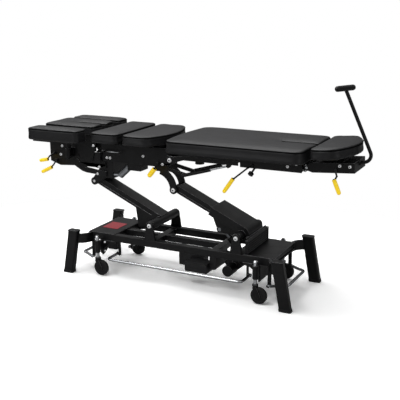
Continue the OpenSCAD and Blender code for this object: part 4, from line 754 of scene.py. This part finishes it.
bolting = bolting_tree()
head_object = new_object("button_head", head_mesh, [glowing_bolt_zinc])
print("bolting tree:", len(bolting.nodes), "nodes")

# %% Bolts of each body
# Radii in metres: most heads are a little wider than the model's own pin ends, which they cover.
proud = 0.0006
plate_bolt = 0.008 + proud
pivot_bolt = 0.013 + proud
slim_bolt = 0.006
cheek_bolt = 0.008
# How far from the middle the faces lie that carry bolts, in millimetres.
base_face = 176
side_plate_face = 114
hinge_boss_face = 125
head_arm_face = 100
arm_pin_face = 63
leg_frame_face = 124
cheek_face = 105
foot_frame_face = 110


def both_sides(spots, y, radius, where=place):
    """The same bolts on the near and the far side: place, facing and radius in metres of each."""
    return [(where(x, side * y, z), (0, side, 0), radius) for x, z in spots for side in (-1, 1)]


def bolts(body, spots):
    mesh = bpy.data.meshes.new(f"bolts_{body}")
    mesh.from_pydata([spot[:] for spot, _, _ in spots], [], [])
    mesh.attributes.new("facing", "FLOAT_VECTOR", "POINT").data.foreach_set(
        "vector", [c for _, facing, _ in spots for c in facing])
    mesh.attributes.new("size", "FLOAT", "POINT").data.foreach_set(
        "value", [size for _, _, size in spots])
    made = run_tree(new_object(f"bolts_{body}", mesh, []), bolting, {"Bolt": head_object})
    carried(made, body)
    print("bolts on", body, len(spots))


bolts("base", both_sides([(-187, 358), (398, 358)], base_face, pivot_bolt)
      + both_sides([(-520, 150), (-520, 208), (520, 150), (520, 208)], base_face, slim_bolt))
bolts("carriage",
      both_sides([(-254, 782), (-118, 743), (-497, 750), (-520, 750)], side_plate_face, plate_bolt)
      + both_sides([(-63, 775)], hinge_boss_face, pivot_bolt)
      + both_sides([(-876, 795), (-889, 737), (-591, 681), (-607, 634)], head_arm_face, plate_bolt)
      + both_sides([(-661, 573)], arm_pin_face, plate_bolt)
      + both_sides([(-76, 573)], arm_pin_face, pivot_bolt))
bolts("leg_section", both_sides([(689, 806), (740, 825), (430, 825)], leg_frame_face, plate_bolt))
bolts("head", both_sides([(-626, 817)], cheek_face, cheek_bolt))
bolts("foot_section", both_sides([(984, 820), (1040, 816)], foot_frame_face, plate_bolt, tilted))
bpy.data.objects.remove(head_object)

# %% [markdown]
# ## Sheet parts of the mechanism
# The photograph shows more sheet steel between the head section and the carriage, beams between the
# castors, a gear housing under the spine and a flange above the slats. Each is an outline in
# millimetres, given its sheet thickness. A Solidify modifier could do that, but a sheet that starts and
# ends at stated places keeps its clearance. The two cheeks ride on the head section: a flange holds
# them 1 mm outside the head arms, so they slide past them at each tilt.

# %% Sheets from outlines


def from_rings(name, body, rings, material):
    """rings: pairs of point lists, the two ends of a bar or sheet; the wall joins them."""
    points = []
    faces = []
    for start, end in rings:
        base = len(points)
        n = len(start)
        points += [tuple(v) for v in start] + [tuple(v) for v in end]
        faces += [list(range(base + n - 1, base - 1, -1)), list(range(base + n, base + 2 * n))]
        faces += [[base + i, base + (i + 1) % n, base + n + (i + 1) % n, base + n + i] for i in range(n)]
    mesh = bpy.data.meshes.new(name)
    mesh.from_pydata(points, [], faces)
    print(name, "faces", len(faces))
    return carried(new_object(name, mesh, [material]), body)


def sheets(name, body, pieces, material=powder):
    """pieces: (outline, low, high, axis), the outline in x, z when it is pulled along y, else in y, z."""
    rings = []
    for outline, low, high, axis in pieces:
        turning = sum(a * d - c * b for (a, b), (c, d) in zip(outline, outline[1:] + outline[:1]))
        if (turning > 0) == (axis == "y"):
            outline = outline[::-1]
        rings.append([[place(a, at, b) if axis == "y" else place(at, a, b) for a, b in outline]
                      for at in (low, high)])
    from_rings(name, body, rings, material)


def pair(outline, inner, outer):
    return [(outline, inner, outer, "y"), (outline, -outer, -inner, "y")]


def box(a0, a1, b0, b1):
    return [(a0, b0), (a1, b0), (a1, b1), (a0, b1)]


# %% Cheeks, webs, bracket, beams, housing, flange
# Millimetres from the middle, across for the cheeks, webs and bracket and along for the beams.
cheek_sheet = 4
cheek_inside = cheek_face - cheek_sheet
flange_inside = 92
overlap = 0.5
web_inside = 96
web_sheet = 4
bracket_inside = 126
bracket_sheet = 6
bracket_back = -588
beam_outside = 549
beam_sheet = 8
guard_half = 150
cheek = [(-770, 884), (-641, 884), (-612, 860), (-612, 800), (-641, 715), (-712, 715), (-770, 784)]
cheek_top = box(-770, -641, 878, 884)
sheets("head_cheeks", "head", pair(cheek, cheek_inside, cheek_face)
       + pair(cheek_top, flange_inside, cheek_inside + overlap))
web = [(-745, 700), (-745, 735), (-700, 772), (-545, 776), (-545, 690), (-600, 672), (-690, 684)]
sheets("neck_webs", "carriage", pair(web, web_inside, web_inside + web_sheet))
bracket = [(-561, 712), (-561, 783), (-590, 783), (-598, 775), (-598, 730), (-585, 712)]
bracket_strip = box(-bracket_inside, bracket_inside, 722, 742)
sheets("neck_bracket", "carriage", pair(bracket, bracket_inside, bracket_inside + bracket_sheet)
       + [(bracket_strip, bracket_back, bracket_back + bracket_sheet, "x")])
head_beam = [(-172, 219), (-172, 118), (-145, 124), (-84, 168), (84, 168), (145, 124), (172, 118),
             (172, 219)]
foot_beam = box(-172, 172, 112, 219)
beam_inside = beam_outside - beam_sheet
sheets("castor_beams", "base", [(head_beam, -beam_outside, -beam_inside, "x"),
                                (foot_beam, beam_inside, beam_outside, "x")])
housing = [(192, 112), (228, 112), (238, 122), (238, 202), (228, 212), (192, 212)]
housing_near = -105
housing_far = 60
sheets("gear_housing", "base", [(housing, housing_near, housing_far, "y")], moulded)
guard_flange = box(454, 457, 350, 362)
sheets("guard_flange", "base", [(guard_flange, -guard_half, guard_half, "y")])

# %% [markdown]
# ## Rods beside the chest section
# A bright rod runs along each side of the carriage, under the chest cushion, with a black end piece on
# each end. They are plain round bars, so the same rings that make the sheets make them too, with their
# long faces shaded smooth and their ends flat.

# %% Rods
head_end = (-530, 794)
foot_end = (-409, 796)
end_height = 795
rod_y = 138
rod_radius = 4
end_radius = 6
end_half = 7
bar_sides = 20


def bars(name, body, spans, radius, material):
    """Round bars between pairs of places, with their radius in millimetres."""
    rings = []
    for start, end in spans:
        turn = (end - start).to_track_quat("Z", "Y")
        ring = [turn @ Vector(point) * radius / 1000 for point in circle(1, 0, bar_sides)]
        rings.append([[start + v for v in ring], [end + v for v in ring]])
    made = from_rings(name, body, rings, material)
    for face in made.data.polygons:
        face.use_smooth = len(face.vertices) == 4


rods = [(place(head_end[0], y, head_end[1]), place(foot_end[0], y, foot_end[1])) for y in (-rod_y, rod_y)]
bars("drop_rods", "carriage", rods, rod_radius, chrome)
ends = [(place(x - end_half, y, end_height), place(x + end_half, y, end_height))
        for x in (head_end[0], foot_end[0]) for y in (-rod_y, rod_y)]
bars("rod_ends", "carriage", ends, end_radius, powder)

# %% [markdown]
# ## The red plate
# The head end cover carries a plain red plate. It is thin enamelled sheet with rounded corners: an
# outline with arcs at its corners, and the same outline once more at the top of its thickness. A cube
# with bevelled edges would round its faces too.

# %% The red plate
plate_box = (-609, -496, -68, 58)
plate_bottom = 268.2
plate_thickness = 1.2
corner_radius = 6
corner_steps = 6


def rounded(x0, x1, y0, y1, radius):
    """A rectangle's outline with round corners, counter-clockwise from above."""
    outline = []
    for cx, cy, first in ((x1 - radius, y0 + radius, -90), (x1 - radius, y1 - radius, 0),
                          (x0 + radius, y1 - radius, 90), (x0 + radius, y0 + radius, 180)):
        for k in range(corner_steps + 1):
            a = math.radians(first + 90 * k / corner_steps)
            outline.append((cx + radius * math.cos(a), cy + radius * math.sin(a)))
    return outline


plate = rounded(*plate_box, corner_radius)
faces_of_plate = [[place(x, y, z) for x, y in plate]
                  for z in (plate_bottom, plate_bottom + plate_thickness)]
from_rings("red_plate", "base", [faces_of_plate], red_enamel)

# %% [markdown]
# ## Studio
# The photograph has a white ground with a soft, pale shadow. The floor is a large white sheet, and it
# is greyer for bounced light than for the camera, so that it doesn't brighten the table from below.
# What the camera sees of it is lifted a little, which keeps the shadow pale, and away from the table it
# goes over to plain white in an oval.

# %% Floor
floor_half = 14
oval_shares = (0.75, 1.0, 0.0)
shadow_reach = 1.0
white_from = 1.9
shadow_lift = 0.01
extra_white = (0.5, 0.5, 0.5, 1)


def floor_sheet():
    corners = [(-floor_half, -floor_half, 0), (floor_half, -floor_half, 0), (floor_half, floor_half, 0),
               (-floor_half, floor_half, 0)]
    mesh = bpy.data.meshes.new("floor")
    mesh.from_pydata(corners, [], [(0, 1, 2, 3)])
    made = bpy.data.materials.new("white_sheet")
    made.use_nodes = True
    tree = made.node_tree
    tree.nodes.clear()
    camera_ray = add(tree, "ShaderNodeLightPath").outputs["Is Camera Ray"]
    sheet = tone(tree, camera_ray, 0.0, 1.0, srgb("#a4a4a4"), srgb("#f2f2f2"))
    paper = add(tree, "ShaderNodeBsdfDiffuse", inputs={"Color": sheet})
    extra = tone(tree, camera_ray, 0.0, 1.0, (0, 0, 0, 1), extra_white)
    second = add(tree, "ShaderNodeBsdfDiffuse", inputs={"Color": extra})
    lift = add(tree, "ShaderNodeMath", {"operation": "MULTIPLY"}, {0: camera_ray, 1: shadow_lift})
    glow = add(tree, "ShaderNodeEmission", inputs={"Strength": lift.outputs[0]})
    twice = add(tree, "ShaderNodeAddShader", inputs={0: paper.outputs[0], 1: second.outputs[0]})
    both = add(tree, "ShaderNodeAddShader", inputs={0: twice.outputs[0], 1: glow.outputs[0]})
    coords = add(tree, "ShaderNodeTexCoord").outputs["Object"]
    oval = add(tree, "ShaderNodeVectorMath", {"operation": "MULTIPLY"}, {0: coords, 1: oval_shares})
    away = add(tree, "ShaderNodeVectorMath", {"operation": "LENGTH"},
               {0: oval.outputs[0]}).outputs["Value"]
    past = add(tree, "ShaderNodeMapRange", inputs={0: away, 1: shadow_reach, 2: white_from})
    open_floor = add(tree, "ShaderNodeMath", {"operation": "MULTIPLY"},
                     {0: past.outputs[0], 1: camera_ray})
    white = add(tree, "ShaderNodeEmission", inputs={"Strength": 1.0})
    seen = add(tree, "ShaderNodeMixShader",
               inputs={0: open_floor.outputs[0], 1: both.outputs[0], 2: white.outputs[0]})
    add(tree, "ShaderNodeOutputMaterial", inputs={"Surface": seen.outputs[0]})
    new_object("floor", mesh, [made])
    print("floor:", 2 * floor_half, "m wide,", len(tree.nodes), "nodes")


floor_sheet()

# %% [markdown]
# ## Light
# The world is plain white for the camera and behind glass. For the object it is a dim room that grows
# brighter with height, and is twice as bright at the head end as elsewhere, so that the steel has
# something to mirror. A wide lamp overhead gives the cushions their broad shine, a long strip on the
# near side draws a line of light along the rails, and two weak lamps open the near side and the foot end.

# %% World
world = bpy.data.worlds.new("studio")
scene.world = world
world.use_nodes = True
tree = world.node_tree
tree.nodes.clear()
rays = add(tree, "ShaderNodeLightPath").outputs
seen = add(tree, "ShaderNodeMath", {"operation": "MAXIMUM"},
           {0: rays["Is Camera Ray"], 1: rays["Is Transmission Ray"]})
look = add(tree, "ShaderNodeTexCoord").outputs["Generated"]
way = add(tree, "ShaderNodeSeparateXYZ", inputs={0: look}).outputs
rise = add(tree, "ShaderNodeMapRange", {"interpolation_type": "SMOOTHSTEP"},
           {0: way["Z"], 1: 0.05, 2: 0.55, 3: 0.04, 4: 0.55})
bias = add(tree, "ShaderNodeMapRange", inputs={0: way["X"], 1: -0.65, 2: -0.25, 3: 1.4, 4: 0.7})
room = add(tree, "ShaderNodeMath", {"operation": "MULTIPLY"}, {0: rise.outputs[0], 1: bias.outputs[0]})
strength = add(tree, "ShaderNodeMix", {"data_type": "FLOAT"},
               {0: seen.outputs[0], 2: room.outputs[0], 3: 1.0})
sky = add(tree, "ShaderNodeBackground", inputs={"Color": (1, 1, 1, 1), "Strength": strength.outputs[0]})
add(tree, "ShaderNodeOutputWorld", inputs={"Surface": sky.outputs[0]})
print("world:", len(tree.nodes), "nodes")

# %% Lamps


def lamp(name, spot, aim, size, power):
    """A rectangular lamp at a spot, in metres and watts, that looks at its aim."""
    data = bpy.data.lights.new(name, "AREA")
    data.shape = "RECTANGLE"
    data.size = size[0]
    data.size_y = size[1]
    data.energy = power
    made = bpy.data.objects.new(name, data)
    turn = (Vector(spot) - Vector(aim)).to_track_quat("Z", "Y")
    made.matrix_world = Matrix.Translation(spot) @ turn.to_matrix().to_4x4()
    scene.collection.objects.link(made)
    print("lamp", name, power, "W")


lamp("overhead", (-0.7, 0.6, 3.6), (-0.4, 0, 0.6), (3.6, 2.6), 92)
lamp("near side", (-1.8, -3.6, 2.2), (0, 0, 0.6), (2.4, 1.8), 22)
lamp("long strip", (-1.2, -1.3, 3.5), (0, 0, 0.5), (4.2, 0.5), 60)
lamp("foot end", (3.8, -1.2, 1.8), (0, 0, 0.6), (1.6, 1.6), 14)
scene.view_settings.view_transform = "Standard"
